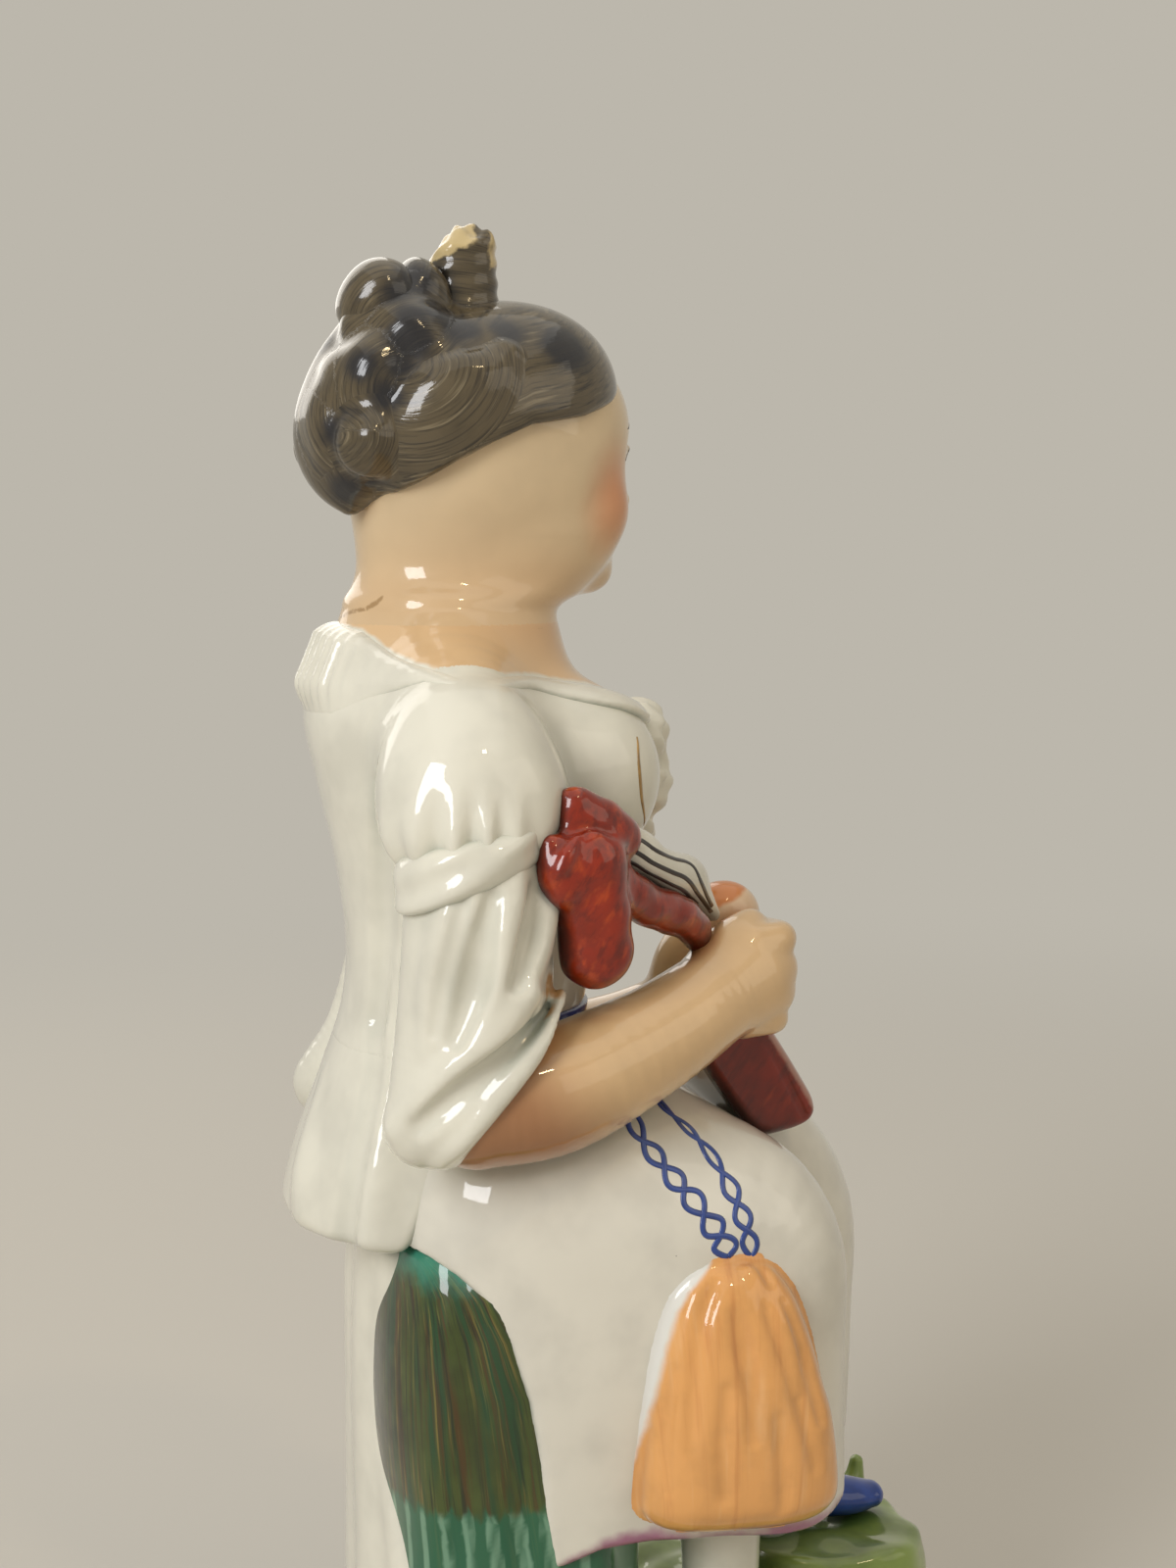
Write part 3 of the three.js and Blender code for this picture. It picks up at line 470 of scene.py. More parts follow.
def cast(clay: Clay, step: float) -> tuple[Points, Array]:
    """Meshes the surface of clay with quads of about one step.

    Distances are worked out in blocks, and only in those that the surface may pass through. Each cell of
    the grid that the surface crosses gets one vertex, and each crossed edge of the grid one quad.

    Args:
        clay: The form.
        step: Spacing of the grid that the surface is found on.

    Returns:
        The vertices and the quads.
    """
    block, far_off = 5, 9.0
    low = clay.low - 2.2 * step
    counts = np.ceil((clay.high - low + 2 * step) / step / block).astype(int)
    size = counts * block
    blocks = np.stack(np.meshgrid(*(np.arange(n) for n in counts), indexing="ij"), -1).reshape(-1, 3)
    rough = clay(low + (blocks * block + (block - 1) / 2) * step)
    live = np.abs(rough) < block * step
    values = np.empty((len(blocks), block**3), np.float32)
    values[:] = np.where(rough > 0, far_off, -far_off)[:, None]
    inner = np.stack(np.meshgrid(*(np.arange(block),) * 3, indexing="ij"), -1).reshape(-1, 3)
    chosen = blocks[live]
    places = low + (chosen[:, None, :] * block + inner[None]) * step
    values[live] = clay(places.reshape(-1, 3)).reshape(len(chosen), -1)
    grid = values.reshape(*counts, block, block, block).transpose(0, 3, 1, 4, 2, 5).reshape(size)
    inside = grid < 0
    strides = np.array([size[1] * size[2], size[2], 1])
    spots, quads = [], []
    for axis in range(3):
        a = [slice(None)] * 3
        b = [slice(None)] * 3
        a[axis], b[axis] = slice(0, -1), slice(1, None)
        index = np.argwhere(inside[tuple(a)] != inside[tuple(b)])
        after = index.copy()
        after[:, axis] += 1
        start, end = grid[tuple(index.T)], grid[tuple(after.T)]
        place = index.astype(float)
        place[:, axis] += start / (start - end)
        u, v = (axis + 1) % 3, (axis + 2) % 3
        home = index @ strides
        ring = np.stack([home - strides[u] - strides[v], home - strides[v], home, home - strides[u]], 1)
        ring[start > 0] = ring[start > 0][:, ::-1]
        quads.append(ring)
        spots.append(np.repeat(place, 4, axis=0))
    where = np.unique(np.concatenate(quads), return_inverse=True)[1].reshape(-1)
    spots = np.vstack(spots)
    share = np.bincount(where).astype(float)
    points = np.stack([np.bincount(where, spots[:, i]) for i in range(3)], 1) / share[:, None]
    points = low + points * step
    slope = clay.slope(points, 0.02)
    away = clay(points) / np.maximum((slope**2).sum(axis=1), 0.2)
    points -= slope * np.clip(away, -0.5 * step, 0.5 * step)[:, None]
    return points, where.reshape(-1, 4)


def outward(points: Points, faces: Array) -> Points:
    """Directions away from the surface.

    Args:
        points: The vertices of a mesh.
        faces: Its quads.

    Returns:
        A direction of length one at each vertex.
    """
    a, b, c, d = (points[faces[:, i]] for i in range(4))
    push = np.cross(c - a, d - b)
    out = np.zeros_like(points)
    for corner in faces.T:
        for axis in range(3):
            out[:, axis] += np.bincount(corner, push[:, axis], len(points))
    return out / np.maximum(np.linalg.norm(out, axis=1), 1e-9)[:, None]


def mesh_object(name: str, points: Points, faces: Iterable[Row]) -> Object:
    """Makes a smooth-shaded object.

    Args:
        name: Its name.
        points: Its vertices in millimetres.
        faces: Its faces.

    Returns:
        The object, in the scene.
    """
    mesh = bpy.data.meshes.new(name)
    mesh.from_pydata((np.asarray(points) * MM).tolist(), [], faces)
    mesh.validate()
    mesh.shade_smooth()
    thing = bpy.data.objects.new(name, mesh)
    bpy.context.scene.collection.objects.link(thing)
    return thing


def note(thing: Object, name: str, values: Array) -> None:
    """Writes a mark on every vertex of an object.

    Args:
        thing: The object.
        name: The mark's name.
        values: A number, or a row of three, for each vertex.
    """
    kind, key = ("FLOAT", "value") if values.ndim == 1 else ("FLOAT_VECTOR", "vector")
    layer = thing.data.attributes.new(name, kind, "POINT")
    layer.data.foreach_set(key, np.ascontiguousarray(values, np.float32).ravel())


# The camera, and sight lines from it


@dataclass
class Eye:
    """The camera of the photograph: where it stands and how it looks."""

    place: tuple[float, float, float] = (-313.0, 72.5, 163.0)
    heading: float = 12.0
    pitch: float = 6.0
    lens: float = 57.9
    sensor: float = 36.0
    picture: tuple[int, int] = (1200, 1600)

    def axes(self) -> Array:
        """Works out how the camera is turned.

        Returns:
            Its right, up and forward directions, as rows.
        """
        h, p = math.radians(self.heading), math.radians(self.pitch)
        right = spot(-math.sin(h), -math.cos(h), 0)
        ahead = spot(math.cos(h) * math.cos(p), -math.sin(h) * math.cos(p), -math.sin(p))
        return np.stack([right, np.cross(right, ahead), ahead])

    def rays(self, pixels: Rows) -> Points:
        """Sight lines.

        Args:
            pixels: Rows of x and y in the photograph.

        Returns:
            A direction of length one for each pixel.
        """
        wide, tall = self.picture
        focal = self.lens / self.sensor * tall
        right, up, ahead = self.axes()
        spots = np.array(pixels, float)
        ways = ahead + (spots[:, :1] - wide / 2) / focal * right + (tall / 2 - spots[:, 1:2]) / focal * up
        return ways / np.linalg.norm(ways, axis=1)[:, None]

    def onto(self, clay: Clay, pixels: Rows, lift: float = 0.0) -> Points:
        """Places on clay that the pixels show.

        Args:
            clay: The form to look at.
            pixels: Rows of x and y in the photograph.
            lift: Height above the surface.

        Returns:
            One place for each pixel.
        """
        ways = self.rays(pixels)
        far = np.full(len(ways), 240.0)
        for _ in range(60):
            far += np.clip(clay(spot(*self.place) + ways * far[:, None]) * 0.7, -2, 20)
        return clay.onto(spot(*self.place) + ways * far[:, None], lift)

    def at(self, pixels: Rows, x: float | Row) -> Points:
        """Places behind the pixels.

        Args:
            pixels: Rows of x and y in the photograph.
            x: The X of every place, or of each.

        Returns:
            One place for each pixel.
        """
        ways = self.rays(pixels)
        far = (np.asarray(x, float) - self.place[0]) / ways[:, 0]
        return spot(*self.place) + ways * far[:, None]

    def set_up(self) -> None:
        """Makes the camera and gives it to the scene."""
        data = bpy.data.cameras.new("photo_camera")
        data.lens, data.sensor_width, data.sensor_height = self.lens, self.sensor, self.sensor
        data.sensor_fit = "AUTO"
        data.clip_start, data.clip_end = 0.01, 10
        camera = bpy.data.objects.new("photo_camera", data)
        right, up, ahead = (Vector(row) for row in self.axes())
        turn = Matrix((right, up, -ahead)).transposed().to_4x4()
        camera.matrix_world = Matrix.Translation(Vector(self.place) * MM) @ turn
        bpy.context.scene.collection.objects.link(camera)
        bpy.context.scene.camera = camera


EYE = Eye()


def ridge(body: Clay, pixels: Rows, radii: Row, lift: float, soft: float) -> Clay:
    """Presses a raised fold onto clay along pixels of the photograph."""
    return join(soft, body, rope(EYE.onto(body, pixels, lift), radii))


def groove(body: Clay, pixels: Rows, radii: Row, lift: float, soft: float) -> Clay:
    """Draws a groove into clay along pixels of the photograph."""
    return carve(soft, body, rope(EYE.onto(body, pixels, lift), radii))


def swirl(pixel: Row, x: float) -> Field:
    """Flow of strands wound round a centre.

    Args:
        pixel: The centre, in pixels of the photograph.
        x: The centre's X.

    Returns:
        A field of rows: the place across the strands, along them and into the head.
    """
    middle = EYE.at([pixel], x)[0]

    def flow(p: Points) -> Array:
        """Turns places into their row of the flow."""
        x, y, z = (p - spot(0, *middle[1:])).T
        return np.column_stack([np.hypot(y, z) + 0.35 * x, np.arctan2(z, y) * 9.0, 0.1 * x])

    return flow


def dabs(size: float, places: Points, squash: float = 1.0) -> Field:
    """A mark that is positive in round dabs at places, or in flatter ones where squash is over one."""
    return lambda p: size - np.min([np.linalg.norm((p - at) * spot(1, 1, squash), axis=1) for at in places], axis=0)


def round_angle(x: Array, y: Array, middle: float = 22.0) -> Array:
    """Angle round the figure in degrees: 0 at the front, -90 at its right side."""
    return np.degrees(np.arctan2(x, middle - y))


# Finishes


def linear(code: str) -> tuple[float, float, float, float]:
    """An sRGB hex colour as linear values."""
    parts = [int(code[i : i + 2], 16) / 255 for i in (1, 3, 5)]
    return (*(v / 12.92 if v <= 0.04045 else ((v + 0.055) / 1.055) ** 2.4 for v in parts), 1.0)


def add(tree: NodeTree, kind: str, links: dict, out: int | str = 0, **settings: object) -> NodeSocket | None:
    """Adds a node.

    Args:
        tree: The node tree.
        kind: The node's type, without its common prefix.
        links: A value or a socket for each input.
        out: The output to return.
        **settings: The node's own settings.

    Returns:
        One of its outputs, or None where it has none.
    """
    node = tree.nodes.new(f"ShaderNode{kind}")
    for key, value in settings.items():
        setattr(node, key, value)
    for key, value in links.items():
        if isinstance(value, NodeSocket):
            tree.links.new(value, node.inputs[key])
        else:
            node.inputs[key].default_value = value
    return node.outputs[out] if node.outputs else None


@dataclass(frozen=True)
class Paint:
    """Enamel laid over the glaze where a mark on the piece is positive, in millimetres."""

    mark: str
    colour: str
    soft: float = 0.35
    amount: float = 1.0
    wander: float = 0.0
    grain: float = 1.5


@dataclass(frozen=True)
class Brush:
    """Brush strokes along a piece's flow: their colour, width and length in millimetres."""

    colour: str
    width: float
    length: float
    amount: float
    low: float = 0.45
    high: float = 0.7


@dataclass(frozen=True)
class Glaze:
    """A fired lead glaze or enamel on white earthenware.

    A clear glassy coat lies over the colour, so the highlights are sharp and white; the coat is thicker
    in the hollows, where it looks greener and darker, and the same pooled colour is laid as painted shade
    in creases and where pieces lie close. Dust in the kiln leaves brown pinholes. The body and the glaze
    are glass-like, so both have an IOR of 1.5. A pinhole is 0.1 to 0.2 mm wide and is drawn 0.36 mm wide,
    because a true one wouldn't show.
    """

    name: str
    slot: str
    colour: str
    # Colour and strength of pooled glaze, which also stands in as painted shade in hollows and between pieces.
    pool_and_shade_colour: str
    pool_and_shade_strength: float = 0.8
    mottle: float = 0.06
    mottle_size: float = 9.0
    brushes: tuple[Brush, ...] = ()
    paints: tuple[Paint, ...] = ()
    specks: float = 0.11
    combed: float = 0.0
    ripple: float = 0.08
    ripple_size: float = 5.0

    def build(self) -> bpy.types.Material:
        """Makes the material.

        Returns:
            The material, named for the finish.
        """
        material = bpy.data.materials.new(self.name)
        material.use_nodes = True
        tree = material.node_tree
        tree.nodes.clear()
        place = add(tree, "TexCoord", {}, "Object")
        flow = add(tree, "Attribute", {}, "Vector", attribute_name="flow")
        normal = self.relief(tree, place, flow)
        links = {"Base Color": self.tint(tree, place, flow), "Normal": normal, "Roughness": 0.32, "IOR": 1.5}
        links |= {"Specular IOR Level": 0.15, "Coat Normal": normal, "Coat Weight": 1.0, "Coat Roughness": 0.04}
        add(tree, "OutputMaterial", {"Surface": add(tree, "BsdfPrincipled", links)})
        return material

    def tint(self, tree: NodeTree, place: NodeSocket, flow: NodeSocket) -> NodeSocket:
        """Lays the colours one over another.

        Args:
            tree: The material's nodes.
            place: Places on the piece.
            flow: Places along the piece's brush strokes.

        Returns:
            The colour.
        """
        mottle = add(tree, "TexNoise", {"Vector": place, "Scale": 1 / (self.mottle_size * MM), "Detail": 3.0})
        colour = linear(self.colour)
        layers = [(mottle, 0.35, 0.7, 1.0, (*(v * (1 - 2 * self.mottle) for v in colour[:3]), 1.0))]
        for i, brush in enumerate(self.brushes):
            thin, long = 1 / brush.width, 1 / brush.length
            lay = add(tree, "Mapping", {"Vector": flow, 1: (7.3 * i, 0, 0), 3: (thin, long, thin)})
            stroke = add(tree, "TexNoise", {"Vector": lay, "Scale": 1.0, "Detail": 3.0, "Roughness": 0.6})
            layers.append((stroke, brush.low, brush.high, brush.amount, linear(brush.colour)))
        # Pooled glaze in the hollows, laid together with painted shade from the nearness of other pieces.
        pool_and_shade = add(tree, "Attribute", {}, "Fac", attribute_name="pool_and_shade")
        layers.append((pool_and_shade, 0.12, 0.85, self.pool_and_shade_strength, linear(self.pool_and_shade_colour)))
        for paint in self.paints:
            mark = add(tree, "Attribute", {}, "Fac", attribute_name=paint.mark)
            if paint.wander:
                shift = add(tree, "TexNoise", {"Vector": place, "Scale": 1 / (paint.grain * MM), "Detail": 3.0})
                mark = add(tree, "Math", {0: shift, 1: 2 * paint.wander, 2: mark}, operation="MULTIPLY_ADD")
            low, high = paint.wander - paint.soft / 2, paint.wander + paint.soft / 2
            layers.append((mark, low, high, paint.amount, linear(paint.colour)))
        if self.specks:
            near = add(tree, "TexVoronoi", {"Vector": place, "Scale": 1 / (6.0 * MM)}, "Distance")
            rare = add(tree, "SeparateColor", {0: near.node.outputs["Color"]})
            rare = add(tree, "Math", {0: rare, 1: self.specks}, operation="LESS_THAN")
            dot = add(tree, "Math", {0: near, 1: 0.03}, operation="LESS_THAN")
            speck = add(tree, "Math", {0: rare, 1: dot}, operation="MULTIPLY")
            layers.append((speck, 0.0, 1.0, 0.8, linear("#5A4630")))
        for value, low, high, amount, over in layers:
            span = {"Value": value, 1: low, 2: high, 3: 0.0, 4: amount}
            share = add(tree, "MapRange", span, interpolation_type="SMOOTHSTEP")
            colour = add(tree, "Mix", {0: share, 6: colour, 7: over}, 2, data_type="RGBA")
        return colour

    def relief(self, tree: NodeTree, place: NodeSocket, flow: NodeSocket) -> NodeSocket:
        """Gives the glaze its faint waves, and hair the lines of the comb.

        Args:
            tree: The material's nodes.
            place: Places on the piece.
            flow: Places along the piece's brush strokes.

        Returns:
            The surface's normal.
        """
        height = add(tree, "TexNoise", {"Vector": place, "Scale": 1 / (self.ripple_size * MM), "Detail": 1.5})
        if self.combed:
            fine = self.brushes[0]
            lay = add(tree, "Mapping", {"Vector": flow, 3: (1.3 / fine.width, 1 / fine.length, 1.3 / fine.width)})
            hairs = add(tree, "TexNoise", {"Vector": lay, "Scale": 1.0, "Detail": 2.0})
            height = add(tree, "Math", {0: hairs, 1: self.combed, 2: height}, operation="MULTIPLY_ADD")
        return add(tree, "Bump", {"Height": height, "Strength": 1.0, "Distance": self.ripple * MM})


# Flesh enamel wiped over glaze, and the slot and colours of plain clear glaze.
SKIN = Paint("skin", "#DDB98B", 0.5, 1.0, 0.25, 2.0)
WARM = ("white_glaze", "#E7E3D2", "#A5ACA0", 0.85)


class Finish(Enum):
    """The glazes and enamels of the figure. Enamels are metal colours in glass, brushed on and fired."""

    # Clear lead glaze, dipped: a warm white with a wet shine, grey-green where it pools in the folds; the same
    # grey-green is painted as shade in hollows and between parts.
    WHITE = Glaze("clear_glaze_on_earthenware", *WARM)
    # The same, with thin flesh enamel wiped over the bare shoulders: its edge wanders by 0.25 mm. Under the chin a
    # warm brown is painted as shade.
    JACKET = Glaze("clear_glaze_with_flesh_enamel", *WARM, paints=(SKIN, Paint("warm_shade", "#CD9A6A", 6.0, 0.4)))
    # The same, with a dab of ochre-brown painted shade in the slit of the cuff: matt brown in a glossy white edge.
    SLEEVE = Glaze("clear_glaze_with_shaded_slit", *WARM, paints=(Paint("slit_shade", "#A8793A", 0.8, 0.85, 0.3, 1.2),))
    # The same, a shade greyer in the lap, with a soft line of pink lustre-like enamel along the hem.
    SKIRT = Glaze(
        "clear_glaze_with_pink_hem", "white_glaze", "#E3DECF", "#ABAFA2", 0.8,
        paints=(Paint("hem", "#9A4A78", 2.0, 0.85, 0.9, 3.0),)
    )
    # Flesh enamel, one even wash: honey-coloured and glossy, with brown painted shade towards the elbow, under the
    # sleeve, and in the creases.
    FLESH = Glaze(
        "flesh_enamel", "flesh_glaze", "#E2BD8C", "#AE7345", 0.85, 0.05, 12.0,
        paints=(Paint("warm_shade", "#96603A", 9.0, 0.85),), specks=0.07
    )
    # Flesh enamel with orange dabbed on the cheeks, red lips and a hairline crack stained brown; a warm brown band
    # round the neck's base is painted shade.
    FACE = Glaze(
        "flesh_enamel_with_blush", "flesh_glaze", "#E1C8A1", "#B98C5C", 0.75, 0.05, 12.0,
        paints=(
            Paint("warm_shade", "#C99A66", 9.0, 0.45), Paint("blush", "#CF7236", 6.0, 0.65, 0.4, 3.0),
            Paint("lips", "#A5402F", 0.5, 0.9, 0.1, 1.0), Paint("crack", "#94703F", 0.3, 0.7, 0.3, 0.9)
        ),
        specks=0.06
    )
    # Brown enamel combed with a dry brush: strands of dark and pale over a glossy brown. Black smudges are partly the
    # enamel's own dark patches and partly painted shade in the creases between lobes, and the hollows are painted
    # near-black as shade.
    # A bristle leaves lines 0.1 mm apart, which are drawn 0.3 to 0.5 mm wide so that they show.
    HAIR = Glaze(
        "brown_hair_enamel", "hair_enamel", "#5C503A", "#151312", 1.0, 0.12, 6.0,
        brushes=(Brush("#231E17", 0.3, 9.0, 0.85), Brush("#94866A", 0.5, 12.0, 0.6, 0.55, 0.75)),
        paints=(Paint("smudge_and_crease_shade", "#17181F", 2.6, 0.92, 0.9, 2.5), Paint("chipped", "#C9B381", 0.6, 1.0, 0.9, 1.5)),
        specks=0.0, combed=0.6, ripple=0.04, ripple_size=2.0
    )
    # Iron-red enamel in thick wet dabs, 1 to 2 mm wide: deep red with orange where it lies thin.
    RED = Glaze(
        "iron_red_enamel", "red_enamel", "#962400", "#3C0C02", 0.9, 0.14, 4.0,
        brushes=(Brush("#621304", 1.2, 4.0, 0.75), Brush("#C4480C", 1.6, 5.0, 0.65, 0.5, 0.74)), specks=0.0,
        ripple=0.12, ripple_size=2.4
    )
    # Iron-red enamel wiped off one edge: a darker red with a pale worn rim.
    GOWN = Glaze(
        "iron_red_enamel_with_pale_edge", "red_enamel", "#842006", "#360B03", 0.9, 0.14, 4.0,
        brushes=(Brush("#561204", 1.4, 5.0, 0.75), Brush("#A83A10", 1.6, 6.0, 0.6, 0.52, 0.76)),
        paints=(Paint("edge", "#B99080", 0.5, 0.7, 0.3, 1.2),), specks=0.0, ripple=0.1, ripple_size=2.4
    )
    # Clear glaze under thin black lines: glossy white cloth with crisp stripes about 0.5 mm wide.
    STRIPED = Glaze("clear_glaze_with_black_stripes", "white_glaze", "#E4E0D0", "#9AA096", 0.8, specks=0.0)
    # Orange enamel drawn upwards with a flat brush over white: soft streaks 1.5 to 2.4 mm wide, and a band
    # of bare white glaze where the brush stopped.
    ORANGE = Glaze(
        "orange_enamel_brushed_over_white", "orange_enamel", "#E8A862", "#B06A34", 0.65, 0.06, 5.0,
        brushes=(Brush("#C67E44", 1.5, 30.0, 0.55, 0.5, 0.8), Brush("#F1CE9E", 2.4, 20.0, 0.3, 0.52, 0.82)),
        paints=(Paint("bare", "#E4E2DA", 0.9, 1.0, 0.35, 2.5),), specks=0.05
    )
    # Green, brown and ochre enamels dragged upwards together, teal below: long streaks in a dark glossy
    # green, with a band of near-black painted shade where the rock runs under the drape's edge. The bristles' lines
    # are drawn 0.6 mm wide or more, coarser than the real 0.2 mm, so they show.
    ROCK = Glaze(
        "green_and_brown_rock_enamel", "rock_glaze", "#465320", "#131B0E", 0.85, 0.2, 7.0,
        brushes=(
            Brush("#1D4526", 2.6, 34.0, 0.9, 0.42, 0.6), Brush("#4E3210", 1.1, 34.0, 0.8, 0.48, 0.68),
            Brush("#1B2014", 0.6, 30.0, 0.7, 0.5, 0.68), Brush("#93803C", 0.6, 26.0, 0.6, 0.54, 0.76)
        ),
        paints=(
            Paint("drape_edge_shade", "#101A16", 2.2, 0.9, 0.9, 3.0), Paint("teal", "#206446", 1.6, 0.85),
            Paint("pale", "#8FB79A", 1.4, 0.55), Paint("crest", "#3F9A80", 4.5, 0.7, 1.2, 1.6)
        ),
        specks=0.0, ripple=0.06, ripple_size=2.5
    )
    # Grass-green enamel dabbed with a full brush, in spots of 2 to 3 mm: patches of teal, yellow and brown.
    GRASS = Glaze(
        "green_grass_enamel", "grass_glaze", "#93A650", "#264C26", 0.9, 0.2, 8.0,
        brushes=(Brush("#2F7F5C", 3.0, 5.0, 0.9), Brush("#6E5A2B", 2.2, 6.0, 0.6, 0.55, 0.7)), specks=0.0, ripple=0.1,
        ripple_size=3.0
    )
    # Flesh enamel with dabs of orange for hair and ink dots for eyes: a pale, simple doll.
    DOLL = Glaze(
        "flesh_enamel_with_orange_hair", "flesh_glaze", "#E6C6A2", "#BD8257", 0.6, 0.04, 6.0,
        paints=(Paint("curls", "#D5813F", 0.8, 0.95, 0.3, 1.2), Paint("face", "#2A211D", 0.2, 0.9)), specks=0.0
    )
    # Cobalt enamel, flooded on the shoes: a deep even blue under a bright shine.
    SHOE = Glaze("bright_cobalt_enamel", "blue_enamel", "#1B45A0", "#0F2258", 0.8, 0.12, 2.0, specks=0.0)
    # Cobalt enamel in thin lines: a little paler, because white shows through.
    BLUE = Glaze("cobalt_enamel", "blue_enamel", "#2F4A93", "#16245A", 0.8, 0.12, 2.0, specks=0.0)
    # Gilding worn down to its brown ground: a dull ochre line rather than bright metal.
    GILT = Glaze("worn_gilding", "white_glaze", "#B08A4C", "#6A4A24", 0.8, 0.2, 2.0, specks=0.0)
    # Brown-black enamel from a fine brush: crisp dark strokes on cloth and on the face.
    INK = Glaze("brown_black_enamel", "white_glaze", "#2A211D", "#1A1412", 0.5, 0.1, 2.0, specks=0.0)


def dress(thing: Object, finish: Finish) -> None:
    """Gives a piece its finish, made once and shared.

    Args:
        thing: The piece.
        finish: The finish.
    """
    material = bpy.data.materials.get(finish.value.name) or finish.value.build()
    thing.data.materials.clear()
    thing.data.materials.append(material)


@dataclass
class Piece:
    """One casting: its clay, the mesh's spacing, the node that it stands for and how it is finished."""

    name: str
    clay: Clay
    step: float
    node: str
    finish: Finish
    marks: dict[str, Field] = field(default_factory=dict)


@dataclass
class Line:
    """A painted line: the clay under it, where it runs, its half width, height and enamel."""

    name: str
    clay: Clay
    points: Points
    half: float | Row
    finish: Finish
    rise: float = 0.05
    slot: str = ""


# The figure's parts


@dataclass
class Ground:
    """The oval base, its turf, the rock under the left foot and the tuft behind it."""

    half: tuple[float, float] = (38.3, 46.3)
    top: float = 12.3

    def oval(self, *levels: tuple[float, float]) -> Clay:
        """Ovals stacked at their heights, each some way inside the base's outline."""
        wide, deep = self.half
        return stack([(z, 0, wide - inset, deep - inset, deep - inset, 2.35) for z, inset in levels])

    def foot(self) -> Clay:
        """Models the moulded foot rim of the base."""
        foot = self.oval((0.0, 1.3), (1.8, 0), (4.2, 0), (5.8, 2.0), (8.7, 2.5), (10.4, 1.5), (self.top, 1.7))
        return carve(0.8, foot, self.oval((-6, 5), (2.5, 5)), rope([(0, 18.5, -4), (0, 18.5, 9)], [2.6, 2.6]))

    def lumps(self, p: Points) -> Array:
        """Height of the turf's soft lumps at each place."""
        x, y = p[:, 0] + 2.2 * np.sin(p[:, 1] * 0.21 + 1), p[:, 1]
        return (
            0.5 * np.sin(x * 0.31 + 1.3) * np.sin(y * 0.27) + 0.22 * np.sin(x * 0.83 + 0.4 * y)
            + 0.12 * np.sin(y * 1.1 + 0.5 * x) - 0.3
        )

    def rock(self) -> Clay:
        """Models the rock under the left foot.

        Returns:
            The clay, with a rough side.
        """
        rock = stack([
            (14.6, -29, 13.4, 12.8, 12.8, 2.7, 8), (18, -29, 13.6, 13.1, 13.0, 2.8, 8),
            (22, -29, 13.4, 13.0, 12.8, 3.0, 8), (25.7, -28.8, 12.6, 12.6, 12.2, 3.0, 8)
        ])
        rough = law(lambda x, y, z: 0.4 * np.sin(x * 0.5 + 0.6 * np.sin(z * 0.7)) * np.sin(y * 0.43 + 1) - 0.35)
        return swell(rock, rough)

    def tuft(self) -> Clay:
        """Models the tuft of nine short leaves.

        Returns:
            The clay.
        """
        blades = []
        for i in range(9):
            x, y = 24 + 2.6 * math.sin(i * 2.3), -31 + 6.4 * math.cos(i * 1.9)
            tip = (x - 0.6 + 0.2 * i, y - 0.8, 25.5 + 3.6 * math.sin(i * 1.3 + 0.6))
            blades.append(rope([(x, y, 14), (x, y, 20), tip], [2.4, 2.3, 1.0]))
        return join(1.6, *blades)

    def pieces(self) -> list[Piece]:
        """Lists the base's castings.

        Returns:
            The pieces.
        """
        turf = swell(self.oval((self.top - 0.6, 2.4), (13.4, 2.6), (14.8, 4)), self.lumps)
        return [
            Piece("oval_base", self.foot(), 0.8, "base_plinth", Finish.WHITE),
            Piece("turf", turf, 0.8, "base_turf", Finish.GRASS),
            Piece("foot_rock", self.rock(), 0.55, "footrest_rock", Finish.GRASS),
            Piece("leaf_tuft", self.tuft(), 0.5, "rock_foliage", Finish.GRASS)
        ]


